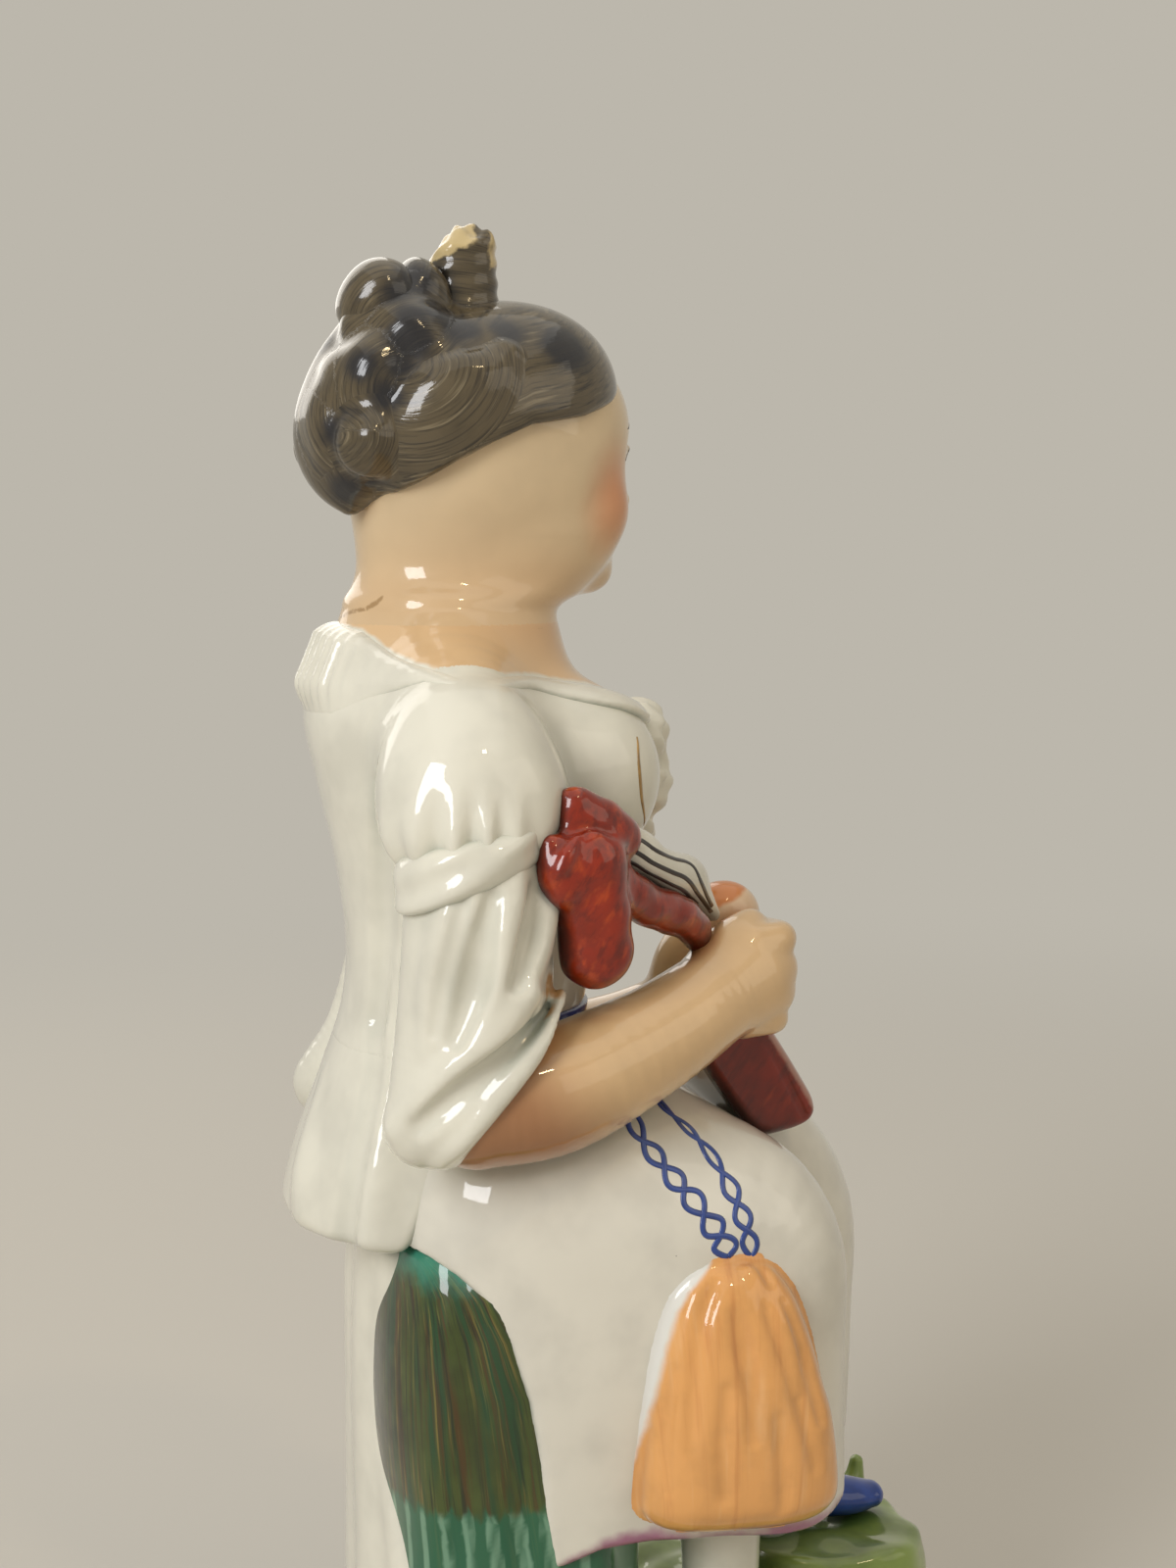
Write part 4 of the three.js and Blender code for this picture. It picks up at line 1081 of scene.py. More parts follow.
@dataclass
class Skirt:
    """The skirt over the lap, the seat's rock that shows beside it, the drape behind and the feet."""

    hem: float = 37.8
    window: tuple[tuple[float, float], ...] = (
        (10.0, 15.4), (37.8, 16.2), (44.8, 17.2), (52.2, 17.9), (58.7, 19.0), (65.9, 21.4), (71.1, 24.3), (73.6, 27.1),
        (75.4, 30.2), (76.6, 34.0)
    )
    window_top: float = 77.6

    def rear(self, z: Array) -> Array:
        """Y of the skirt's rear edge beside the rock, at each height."""
        return np.interp(z, *np.array(self.window).T)

    def foot(self, y: Array) -> Array:
        """Height of the hem, which droops towards the back."""
        return np.interp(y, [4, 10, 17], [self.hem + 1.9, self.hem + 1.2, self.hem - 1.7])

    def edge(self, x: Array, y: Array, z: Array) -> Array:
        """How far a place lies behind the skirt's rear edge beside the rock."""
        return np.minimum(np.minimum((y - self.rear(z)) * 0.9, np.abs(x) - 14), self.window_top - z)

    def folds(self, x: Array, y: Array, z: Array) -> Array:
        """Height of the folds that run down the skirt's front."""
        turn = np.radians(round_angle(x, y, -2) * 11)
        return 0.45 * np.cos(turn) * np.clip((62 - z) / 22, 0, 1) * np.clip((6 - y) / 10, 0, 1)

    def skirt(self) -> Clay:
        """Models the skirt, with the near knee, the further-forward far knee and the fall to the hem.

        Returns:
            The clay, open at the side where the rock shows.
        """
        hips = stack([
            (36.0, 4, 26.6, 22, 30, 3.0), (50, 4, 28.2, 22, 31, 3.1), (64, 5, 29.2, 22, 30.5, 3.1),
            (78, 6, 28.6, 20, 29.5, 2.8), (88, 9, 25.5, 17, 26.0, 2.4), (95.5, 14, 20.5, 14, 20, 2.2)
        ])
        near = rope(
            [(-13, 18, 79), (-14, -2, 77.4), (-15, -11, 72), (-15, -11.6, 58), (-15.5, -11, 36)],
            [12.5, 12.8, 12, 12, 12.6]
        )
        far = rope(
            [(11, 14, 81), (10.6, -8, 79.4), (11.4, -18.6, 70.6), (11.6, -19.4, 56), (11.8, -18.8, 36)],
            [12.5, 13.2, 13.6, 13.7, 14.0]
        )
        body = swell(join(6.0, hips, near, far), law(self.folds))
        return keep(1.1, body, law(self.edge), law(lambda x, y, z: self.foot(y) - z))

    def rock(self) -> Clay:
        """Models the rock of the seat, which swells out of the opening between skirt and drape.

        Returns:
            The clay.
        """
        form = stack([
            (14.8, 18, 28.4, 16.6, 17.4, 2.8), (26, 18, 26.4, 16.4, 17.0, 3.0), (38, 18, 26.2, 16.4, 17.0, 3.0),
            (52, 18.5, 27.4, 16.4, 17.0, 3.7), (62, 18.5, 27.6, 16.4, 17.0, 3.6), (70, 18.5, 27.2, 16.2, 16.6, 3.0),
            (75.5, 18.5, 25.4, 15.6, 15.8, 3.0)
        ])
        return swell(form, law(lambda x, y, z: 0.25 * np.sin(y * 0.9 + 0.5 * np.sin(z * 0.13)) - 0.1))

    def drape(self) -> Clay:
        """Models the cloth that hangs down behind the seat in soft upright folds.

        Returns:
            The clay.
        """
        heights = [14.8, 30, 40, 48, 57, 64, 70, 77]
        halves = [24.0, 20.6, 17.4, 14.6, 13.6, 14.2, 15.8, 17.0]
        form = stack([
            (z, 18.5, 25, 10, back, 2.7) for z, back in ((14.8, 18.7), (40, 18.5), (60, 18.5), (75.5, 18.2))
        ])
        form = keep(
            2.6, form, law(lambda x, y, z: np.abs(x) - np.interp(z, heights, halves)), law(lambda x, y, z: 28 - y)
        )

        def folds(x: Array, y: Array, z: Array) -> Array:
            """Height of the folds, which are evenly wide round the drape's corners."""
            turn = np.arctan2((np.abs(y - 18.5) / 18.3) ** 1.35, (np.abs(x) / 22) ** 1.35)
            return 0.5 * np.cos(9 * turn + 0.5 * np.sin(z * 0.09)) * np.clip((80 - z) / 14, 0.25, 1) - 0.2

        return swell(form, law(folds))

    def shoe(self, heel: Row, toe: Row) -> Clay:
        """Models a slipper on a thin sole.

        Args:
            heel: The middle of its heel.
            toe: The middle of its toe.

        Returns:
            The clay.
        """
        a, b = spot(*heel), spot(*toe)
        line = [a, a * 0.6 + b * 0.4 + spot(0, 0, 0.5), a * 0.2 + b * 0.8, b]
        upper = rope(line, [3.4, 3.9, 3.8, 2.6], [2.8, 3.0, 2.6, 1.8])
        return keep(0.5, upper, beyond(a + spot(0, 0, -2.5), (0, 0, -1)))

    def across(self, x: Array, y: Array, z: Array) -> Array:
        """Place across the rock's brush strokes, which fan out between its two edges."""
        return (y - self.rear(z)) / (36.5 - self.rear(z)) * 16 - 0.5 * np.abs(x)

    def comb(self, x: Array, y: Array, z: Array) -> Array:
        """Uneven ends of the brush strokes, a millimetre or two long."""
        at = self.across(x, y, z)
        return np.sin(at * 3.1) + 0.8 * np.sin(at * 6.7 + 1) + 0.6 * np.sin(at * 12.3 + 2)

    def streaks(self, x: Array, y: Array, z: Array) -> Array:
        """Where the pale streaks of the rock's foot lie."""
        at = self.across(x, y, z)
        return np.minimum(44.4 - z, 1.1 * np.sin(at * 2.3 + 1) + 0.8 * np.sin(at * 4.9) - 0.5)

    def hemline(self, x: Array, y: Array, z: Array) -> Array:
        """Where the hem is painted: under its own line, and round the front of the far knee."""
        return np.maximum(self.foot(y) + 1.2 + 0.6 * np.sin(y * 0.3) - z, np.minimum(-33.6 - y, 56 - z))

    def pieces(self, cloth: Clay) -> list[Piece]:
        """Lists the castings of the lower half.

        Args:
            cloth: The skirt.

        Returns:
            The pieces.
        """
        right_leg = rope([(-13.8, -8.2, 42), (-13.8, -8.4, 28), (-14, -8.6, 18)], [5.4, 4.8, 4.2])
        left_leg = rope([(9, -20, 42), (9, -20.8, 34), (9.4, -21, 27)], [5.2, 4.8, 4.4])
        strokes = {
            "teal": law(lambda x, y, z: 44.6 - z + 0.5 * self.comb(x, y, z)), "pale": law(self.streaks),
            "crest": law(lambda x, y, z: z - 72.8 + 0.5 * np.sin(y * 1.7)),
            # Painted near-black shade where the rock runs under the drape's edge.
            "drape_edge_shade": law(lambda x, y, z: 1.2 - np.abs(y - 36.4) * 0.5 - 0.03 * np.abs(z - 56)),
            "flow": law(lambda x, y, z: np.column_stack([self.across(x, y, z), z, x * 0.2]))
        }
        right_shoe = self.shoe((-14, -6, 17.8), (-15.4, -23.0, 16.8))
        left_shoe = self.shoe((9.4, -18.5, 28.6), (10.6, -36.4, 28.0))
        return [
            Piece("skirt", cloth, 0.7, "skirt", Finish.SKIRT, {"hem": law(self.hemline)}),
            Piece("seat_rock", self.rock(), 0.7, "seat_rock", Finish.ROCK, strokes),
            Piece("back_drape", self.drape(), 0.6, "back_drape", Finish.WHITE),
            Piece("right_stocking", right_leg, 0.5, "right_leg", Finish.WHITE),
            Piece("left_stocking", left_leg, 0.5, "left_leg", Finish.WHITE),
            Piece("right_shoe", right_shoe, 0.4, "right_shoe", Finish.SHOE),
            Piece("left_shoe", left_shoe, 0.4, "left_shoe", Finish.SHOE)
        ]


@dataclass
class Jacket:
    """The torso in its jacket: bare shoulders, the band round the neckline, the ruffle and the tail."""

    split: float = 98.0
    neck: float = 150.3
    neckline: tuple[tuple[float, float], ...] = (
        (-180, 150.6), (-150, 149.6), (-125, 147.2), (-100, 145.2), (-70, 144.6), (-40, 143.2), (-15, 141.0),
        (0, 139.6)
    )

    def line(self, p: Points) -> Array:
        """Height of the neckline at the same angle as each place."""
        return np.interp(-np.abs(round_angle(p[:, 0], p[:, 1])), *np.array(self.neckline).T)

    def bodice(self) -> Clay:
        """Models torso, shoulders, neck and tail as one form, with the hollows and soft folds of its back.

        Returns:
            The clay.
        """
        core = stack([
            (72.0, 24, 21.6, 10, 21.4, 2.4), (77.0, 24, 21.6, 10, 21.4, 2.4), (84, 24, 20.8, 12, 19.8, 2.4),
            (94, 23, 19.2, 13.6, 17.2, 2.3), (102, 22.3, 18.2, 15.0, 15.3, 2.2), (110, 21.6, 18.4, 15.8, 15.4, 2.2),
            (120, 21, 19.4, 17.4, 17.2, 2.2), (130, 21, 21.0, 17.6, 19.4, 2.2), (139, 22, 20.0, 17.2, 20.0, 2.2),
            (145, 23, 15.5, 14.0, 16.6, 2.1), (152, 23.5, 10.0, 11.5, 12.4, 2.0)
        ])
        slope = [(-20.5, 25.5, 137.6), (-12, 26, 141.4), (0, 26, 142.4), (12, 26, 141.4), (20.5, 25.5, 137.6)]
        shoulders = rope(slope, [8.0, 9.0, 9.4, 9.0, 8.0])
        neck = rope(
            [(0, 23.9, 140), (0, 23.7, 150), (0.6, 23.9, 164)], [12.0, 11.6, 11.5], [10.6, 10.2, 10.0], up=(1, 0, 0)
        )
        bust = [ball((x, 8.6, 131.6), (9.8, 9.6, 10.2)) for x in (-9.0, 9.0)]
        body = join(6.0, join(5.0, core, shoulders), *bust, neck)
        body = ridge(body, [(392, 1060), (386, 1130), (378, 1200), (376, 1262)], [1.0, 2.4, 2.8, 2.4], -1.6, 3.0)
        body = ridge(body, [(328, 1100), (316, 1150), (308, 1195), (308, 1235)], [0.5, 1.8, 2.5, 2.2], -2.2, 3.0)
        seam = [(388, 985), (384, 1040), (378, 1100), (366, 1160), (357, 1215), (351, 1268)]
        body = groove(body, seam, [0.3, 1.0, 1.4, 1.5, 1.5, 1.4], 0.4, 1.8)
        return groove(body, [(392, 800), (392, 870), (390, 960), (384, 1040)], [0.5, 1.4, 1.4, 0.6], 0.7, 2.4)

    def tail_edge(self, p: Points) -> Array:
        """How far a place lies in front of the tail's front edge."""
        return np.minimum((32.4 - 0.5 * (p[:, 2] - 75)) - p[:, 1], (self.split + 3 - p[:, 2]) * 0.8)

    def drop(self, turn: Array) -> Array:
        """How far the neckline's band reaches down, at an angle from the front: far down as a small cape."""
        return np.interp(turn, [0, 40, 75, 110, 132, 150, 180], [5.0, 3.6, 2.2, 2.4, 6.5, 10.5, 11.8])

    def band_edge(self, p: Points) -> Array:
        """How far a place lies outside the band's two edges."""
        low = self.line(p) - self.drop(np.abs(round_angle(p[:, 0], p[:, 1])))
        return np.maximum(p[:, 2] - self.line(p) + 0.2, low - p[:, 2]) * 0.85

    def band_thickness(self, p: Points) -> Array:
        """How thick the band lies on the bodice, with its pleats.

        Args:
            p: The places.

        Returns:
            Thicknesses, which sink below zero at the band's lower edge.
        """
        turn = np.abs(round_angle(p[:, 0], p[:, 1]))
        full = np.interp(turn, [0, 40, 70, 120, 140, 158, 180], [1.2, 0.9, 0.45, 0.35, 0.7, 1.9, 2.2])
        pleat = np.interp(turn, [0, 15, 30, 142, 154, 180], [0.2, 0.2, 0.0, 0.0, 0.2, 0.26])
        drop = self.line(p) - p[:, 2]
        fade = np.clip((self.drop(turn) - drop) / np.interp(turn, [120, 150], [1.2, 5.0]), 0, 1)
        soft = np.sqrt(np.clip(drop / 1.4, 0.02, 1)) * fade * fade * (3 - 2 * fade)
        crease = np.cos(np.radians(turn * 60 + 30 * np.sin(np.radians(turn * 9))))
        return full * soft + pleat * soft * crease - 0.06 + 0.1 * fade

    def ruffle(self) -> Clay:
        """Models the ruffle down the middle of the chest.

        Returns:
            The clay.
        """
        lumps = [
            ball((1.6, -0.6, 135.4), (5.2, 3.8, 4.6), (0, 20, 0)),
            ball((2.2, -1.4, 129.6), (4.6, 3.6, 4.4), (0, -15, 0)),
            ball((1.2, 0.4, 123.6), (3.8, 3.0, 4.0), (0, 18, 0)), ball((0.8, 2.0, 117.8), (2.8, 2.6, 3.8))
        ]
        waves = law(lambda x, y, z: 0.45 * np.sin(x * 2.1 + 1.2 * np.sin(z * 0.8)) + 0.2 * np.sin(z * 1.9 + x))
        return swell(join(0.8, *lumps), waves)

    def pieces(self, body: Clay) -> list[Piece]:
        """Lists the torso's castings.

        Args:
            body: The bodice.

        Returns:
            The pieces.
        """
        flap = keep(2.0, body, self.tail_edge)
        torso = sunk(sunk(flap, (0, 0, self.split), (0, 0, -1)), (0, 0, self.neck), (0, 0, 1))
        tail = keep(1.8, swell(flap, -0.03), beyond((0, 34, 75.0), (0.0, 0.1, -1)))
        band = keep(0.7, swell(body, self.band_thickness), self.band_edge)
        belt = keep(0.5, swell(body, 0.5), law(lambda x, y, z: np.abs(z - 101.6) - 1.3), law(lambda x, y, z: y - 22))
        skin = {
            "skin": lambda p: (p[:, 2] - self.line(p)) * 0.8,
            # Painted warm shade under the chin, at the front of the neck's base.
            "warm_shade": law(lambda x, y, z: 3 - np.abs(z - 151) * 0.6 - np.abs(y - 12) * 0.3)
        }
        return [
            Piece("bodice", torso, 0.6, "torso", Finish.JACKET, skin),
            Piece("jacket_tail", sunk(tail, (0, 0, self.split + 0.8), (0, 0, 1)), 0.6, "jacket_tail", Finish.WHITE),
            Piece("neckline_band", sized(band, (-27, -6, 126), (27, 47, 153)), 0.4, "neckline_band", Finish.WHITE),
            Piece("belt", sized(belt, (-21, 4, 100), (21, 23, 105.4)), 0.4, "waist_belt", Finish.BLUE),
            Piece("chest_ruffle", self.ruffle(), 0.35, "chemise_ruffle", Finish.WHITE)
        ]


class Side(Enum):
    """The figure's own right or left."""

    RIGHT = "right"
    LEFT = "left"


@dataclass
class Sleeve:
    """One sleeve and arm: the puff, its band, the hanging lower sleeve, and the forearm with its fist.

    The left side is modelled as the right one and mirrored, with its elbow further back and lower.
    """

    side: Side
    bodice: Clay
    elbow: float = 0.0

    def far(self, clay: Clay) -> Clay:
        """The clay on this sleeve's own side."""
        return clay if self.side is Side.RIGHT else mirrored(clay)

    def puff(self) -> Clay:
        """Models the round upper sleeve, gathered towards its band.

        Returns:
            The clay.
        """
        dome = join(3.0, ball((-26.1, 25.2, 130.2), (9.1, 11.2, 9.8)), ball((-26.4, 25.6, 126.6), (8.8, 9.4, 5.2)))

        def gathers(p: Points) -> Array:
            """Height of the gathers, which deepen towards the band.

            Args:
                p: The places.

            Returns:
                Their heights.
            """
            turn = np.degrees(np.arctan2(p[:, 1] - 25, -(p[:, 0] + 26)))
            low = np.clip((134.5 - p[:, 2]) / 8, 0, 1) ** 1.4
            deep = 0.42 + 0.3 * np.sin(np.radians(turn * 2.3 + 40))
            return deep * low * np.cos(np.radians(turn * 14 + 50 * np.sin(np.radians(turn * 3.3)))) - 0.1

        return swell(dome, gathers)

    def band(self) -> Clay:
        """Models the narrow cuff between puff and lower sleeve, higher in front.

        Returns:
            The clay.
        """
        ring = rope([(-27.4, 25.8, 130), (-28.3, 25.8, 123), (-28.4, 25.8, 117)], [9.1, 8.8, 9.1])
        ring = swell(ring, law(lambda x, y, z: 0.18 * np.sin(y * 0.9 + z * 1.3)))
        return keep(
            2.4, ring, beyond((-28.3, 25, 127.2), (0.02, 0.22, 1)), beyond((-28.3, 25, 121.0), (-0.02, -0.38, -1))
        )

    def folded(self, shell: Clay) -> Clay:
        """Draws the folds that the photograph shows on the near sleeve.

        Args:
            shell: The plain sleeve.

        Returns:
            The sleeve with its folds.
        """
        folds = [
            ([(461, 915), (456, 940), (446, 975), (438, 1020), (432, 1070)], [0.9, 1.5, 1.7, 1.4, 0.5], 0.3),
            ([(486, 912), (480, 940), (468, 975), (458, 1015), (446, 1058)], [0.8, 1.4, 1.6, 1.3, 0.5], 0.3),
            ([(530, 895), (524, 920), (512, 965), (506, 1015), (480, 1060)], [0.8, 1.5, 1.9, 1.7, 0.6], 0.3),
            ([(562, 890), (562, 930), (556, 965), (536, 1010)], [0.8, 1.3, 1.6, 0.8], 0.2),
            (
                [(572, 985), (544, 1020), (506, 1060), (473, 1087), (435, 1117), (400, 1152)],
                [0.9, 1.7, 2.0, 1.9, 1.7, 1.0], 0.25
            )
        ]
        grooves = [
            ([(472, 925), (464, 965), (452, 1010), (442, 1055)], [0.4, 0.9, 0.9, 0.3]),
            ([(502, 918), (492, 960), (482, 1010), (466, 1060)], [0.5, 1.4, 1.8, 0.7]),
            ([(545, 908), (540, 955), (528, 1005)], [0.4, 1.2, 0.6]),
            ([(560, 1028), (524, 1072), (474, 1112), (428, 1150)], [0.5, 1.3, 1.4, 0.8])
        ]
        for pixels, radii, lift in folds:
            shell = ridge(shell, pixels, radii, lift - 1.2, 1.8)
        for pixels, radii in grooves:
            shell = groove(shell, pixels, radii, 0.25, 1.6)
        return shell

    def lower(self) -> Clay:
        """Models the lower sleeve, which hangs open over the forearm.

        Returns:
            The clay, with a thick rim round its opening.
        """
        if self.side is Side.RIGHT:
            line = [
                (-27.8, 25.4, 124), (-27.9, 25.0, 114), (-28.0, 25.8, 104), (-28.8, 28.4, 95.8), (-29.2, 31.2, 93.4)
            ]
        else:
            line = [
                (-27.8, 24.6, 124), (-27.8, 24.2, 114), (-27.8, 24.6, 104), (-28.6, 29.6, 92.6), (-29.2, 36.2, 85.8)
            ]
        mouth = beyond((0, 14.0 + self.elbow, 106.4 - 0.6 * self.elbow), (0, -0.787, -0.617))
        shell = keep(0.8, rope(line, [8.0, 8.8, 8.8, 7.3, 5.2]), mouth, beyond((-28, 25, 122.6), (0.02, 0.38, 1)))
        if self.side is Side.RIGHT:
            shell = self.folded(shell)
        else:
            waves = law(
                lambda x, y, z: 0.5 * np.cos(np.arctan2(y - 26, x + 28) * 8) * np.clip((z - 92) / 12, 0, 1) - 0.1
            )
            shell = swell(shell, waves)
        low = spot(0, self.elbow, -0.6 * self.elbow)
        rim = [
            (-31.0, 15.6, 108.4), (-33.2, 17.0, 105.8), (-34.6, 19.2, 102.8), (-35.6, 22.0, 99.6), (-35.9, 25.4, 95.8),
            (-35.0, 28.4, 92.2), (-32.8, 30.0, 90.0)
        ]
        gap = [(-32.2, 13.4, 108.6), (-33.2, 15.4, 105.0), (-34.4, 17.8, 101.6)]
        shell = join(1.4, shell, rope(np.array(rim) + low, [0.5, 0.9, 1.1, 1.2, 1.2, 1.1, 0.8]))
        return carve(0.5, shell, rope(np.array(gap) + low, [0.9, 1.5, 0.9]))

    def forearm(self) -> Clay:
        """Models the forearm, its wrist and the closed hand.

        Returns:
            The clay.
        """
        if self.side is Side.RIGHT:
            line = [
                (-29.2, 25.4, 94.6), (-27.6, 15.5, 96.3), (-22.8, 3.0, 100.6), (-17.6, -5.6, 104.2),
                (-14.6, -11, 106.0)
            ]
            arm, hand = rope(line, [6.8, 7.5, 6.5, 5.9, 5.2]), spot(0, 0, 0)
        else:
            line = [
                (-28.8, 30.6, 91.0), (-26.4, 19.0, 90.6), (-19.0, 4.6, 91.6), (-12.0, -4.6, 95.8), (-7.6, -10.4, 100.8)
            ]
            arm, hand = rope(line, [6.8, 7.0, 6.0, 5.2, 4.8]), spot(7.4, -0.4, -3.0)
        palm = ball(spot(-13.6, -10.6, 106.4) + hand, (5.2, 6.9, 7.2), (0, 0, 18))
        fingers = []
        for i, (z, full) in enumerate([(111.0, 2.15), (107.5, 2.3), (104.0, 2.2), (100.9, 1.9)]):
            y = -14.6 + 0.25 * i
            curl = np.array([
                (-16.0, y + 3, z), (-14.2, y - 0.7, z), (-9.8, y - 0.9, z - 0.2), (-7.6, y + 2.2, z - 0.3)
            ])
            fingers.append(rope(curl + hand, [full * 0.85, full, full * 0.95, full * 0.8]))
        thumb = rope(
            np.array([(-15.2, -8.6, 110.6), (-12.0, -12.0, 112.4), (-8.8, -13.6, 111.6)]) + hand, [2.3, 2.1, 1.7]
        )
        return join(1.3, join(3.0, arm, palm), join(0.5, *fingers), thumb)

    def pieces(self) -> list[Piece]:
        """Lists the castings of this side.

        Returns:
            The pieces.
        """
        name = self.side.value
        lower = self.far(self.lower())
        slit_shade_marks = {}
        if self.side is Side.RIGHT:
            # Painted ochre-brown shade in the slit of the right cuff.
            slit_shade_marks["slit_shade"] = outside(rope(EYE.onto(lower, [(570, 992), (566, 1012), (558, 1036)]), [0.5, 1.2, 0.5]))
        # Painted brown shade on the forearm towards the elbow, under the hanging sleeve.
        elbow = {"warm_shade": law(lambda x, y, z: (y - 14) * 0.55 + (96 - z) * 0.5)}
        puff = attached(self.far(self.puff()), self.bodice, 7.5)
        return [
            Piece(f"{name}_puff", puff, 0.45, f"{name}_sleeve_puff", Finish.WHITE),
            Piece(f"{name}_cuff", self.far(self.band()), 0.4, f"{name}_sleeve_band", Finish.WHITE),
            Piece(f"{name}_hanging_sleeve", lower, 0.45, f"{name}_lower_sleeve", Finish.SLEEVE, slit_shade_marks),
            Piece(f"{name}_arm", self.far(self.forearm()), 0.4, f"{name}_forearm", Finish.FLESH, elbow)
        ]


@dataclass
class Held:
    """What the lady holds: the doll, the red shawl and striped cloth under the arm, and the gathered bag."""

    skirt: Clay

    def doll(self) -> list[Piece]:
        """Models the doll's head and its gown, which ends below the hand.

        Returns:
            The pieces.
        """
        head = ball((-3.4, -11.6, 112.4), (3.7, 4.2, 4.2))
        nose = ball((-2.6, -15.7, 111.8), (0.5, 0.6, 0.8))
        head = join(0.8, head, nose, ball((-3.4, -10.8, 113.2), (4.0, 4.2, 3.6)))
        eyes = np.array([(-4.6, -15.4, 112.8), (-1.8, -15.4, 112.8), (-7.0, -13.6, 112.6)])
        hair = {"curls": law(lambda x, y, z: (z - 115.0) + (y + 11.6) * 0.45), "face": dabs(0.5, eyes)}
        outline = [
            (704, 1020), (760, 1010), (797, 1058), (834, 1128), (829, 1143), (768, 1161), (750, 1148), (735, 1122),
            (708, 1082)
        ]
        gown = plate(EYE.at(outline, -6.0), -8.4, 0.2, 2.2)
        gown = join(2.0, gown, ball((-3.2, -12.0, 103.5), (3.6, 4.6, 6.8)))
        gown = groove(gown, [(782, 1062), (797, 1090), (812, 1120), (822, 1140)], [0.2, 0.35, 0.4, 0.3], 0.05, 0.7)
        front = {
            "edge": law(lambda x, y, z: np.minimum(-(y + 16.1 + 0.62 * (97 - z)) * 0.8, -5.2 - x)),
            "flow": law(lambda x, y, z: np.column_stack([y * 0.8 + z * 0.5, z, x]))
        }
        return [
            Piece("doll_head", head, 0.3, "doll_head", Finish.DOLL, hair),
            Piece("doll_gown", gown, 0.4, "doll_gown", Finish.GOWN, front)
        ]

    def shawl(self) -> Clay:
        """Models the red shawl in thick pressed lobes.

        Returns:
            The clay.
        """
        lobes = [
            ((596, 884), -30.4, (3.6, 5.2, 5.2)), ((575, 890), -32.0, (2.6, 2.9, 4.2)),
            ((604, 925), -29.6, (3.6, 4.6, 4.6)), ((611, 964), -28.8, (3.6, 4.1, 5.2)),
            ((590, 970), -28.6, (2.6, 2.3, 3.6)), ((612, 872), -27.6, (3.2, 3.0, 4.0))
        ]
        folds = [
            ([(577, 814), (592, 826), (612, 840), (632, 855)], [-29.6, -29.0, -27.8, -26.4], [0.9, 2.4, 3.0, 2.6]),
            ([(582, 818), (585, 836), (592, 856)], -29.4, [1.2, 1.9, 1.9]),
            ([(560, 862), (561, 880), (568, 898)], -32.6, [0.8, 1.5, 1.7]),
            (
                [(628, 906), (656, 921), (684, 931), (706, 945), (714, 961)], [-26.4, -23.2, -19.4, -16.2, -15.0],
                [3.0, 2.7, 2.7, 2.3, 1.6]
            ),
            ([(596, 890), (606, 920), (624, 900)], -23.5, [3.2, 3.2, 2.8])
        ]
        parts = [ball(EYE.at([pixel], x)[0], radii) for pixel, x, radii in lobes]
        out = join(1.6, *parts, *(rope(EYE.at(pixels, x), radii) for pixels, x, radii in folds))
        out = ridge(out, [(588, 853), (581, 870), (572, 890)], [0.3, 0.8, 0.5], -0.1, 0.9)
        out = groove(out, [(580, 850), (600, 843), (625, 850)], [0.3, 0.5, 0.3], 0.1, 0.8)
        return swell(out, law(lambda x, y, z: 0.14 * np.sin(y * 1.1 + z * 0.5) * np.sin(z * 0.8)))

    def scarf(self) -> Clay:
        """Models the striped cloth, folded into two humps that run down to the hand.

        Returns:
            The clay.
        """
        line = EYE.at(
            [(628, 860), (650, 868), (668, 880), (684, 889), (700, 895), (713, 912), (727, 932)],
            [-24.4, -23.6, -22.0, -19.6, -17.0, -14.4, -12.0]
        )
        return rope(line, [2.7, 2.6, 2.2, 2.5, 2.6, 1.7, 0.9], [2.6, 2.8, 2.4, 2.6, 2.6, 1.8, 1.0], up=(1, 0, 0))

    def bag(self) -> Clay:
        """Models the gathered bag, in thick relief on the skirt.

        Returns:
            The clay.
        """
        rows = [
            (41.8, -6.0, 6.4, 2.2), (42.6, -6.3, 9.8, 4.6), (44.2, -6.5, 11.8, 6.2), (47, -6.7, 12.3, 7.2),
            (54.6, -6.6, 11.6, 7.4), (59.7, -6.2, 10.6, 7.1), (64.7, -5.9, 9.5, 6.4), (69.2, -5.7, 8.0, 5.4),
            (71.6, -5.6, 6.7, 4.4), (73.4, -5.7, 5.0, 3.0), (74.4, -5.8, 3.2, 1.6)
        ]
        folds = [
            ([(779, 1300), (792, 1345), (808, 1391), (820, 1442), (833, 1497)], [0.5, 0.9, 0.8, 0.6, 0.3]),
            ([(752, 1340), (760, 1375), (768, 1420), (770, 1470)], [0.4, 0.9, 0.7, 0.3]),
            ([(730, 1310), (716, 1350), (708, 1410), (705, 1480)], [0.4, 0.6, 0.6, 0.3]),
            ([(800, 1330), (822, 1390), (838, 1450)], [0.3, 0.5, 0.3]),
            ([(742, 1420), (738, 1480), (740, 1530)], [0.3, 0.5, 0.3]),
            ([(795, 1450), (800, 1500), (800, 1540)], [0.3, 0.5, 0.3]),
            ([(688, 1400), (680, 1460), (680, 1520)], [0.3, 0.5, 0.3])
        ]
        form = stack([(z, y, thick, half, half, 2.6, -27.6) for z, y, half, thick in rows])
        for pixels, radii in folds:
            form = groove(form, pixels, [1.25 * v for v in radii], 0.3, 1.3)
        return ridge(form, [(764, 1296), (786, 1330), (804, 1378), (812, 1420)], [0.5, 0.9, 0.9, 0.3], -0.2, 1.2)

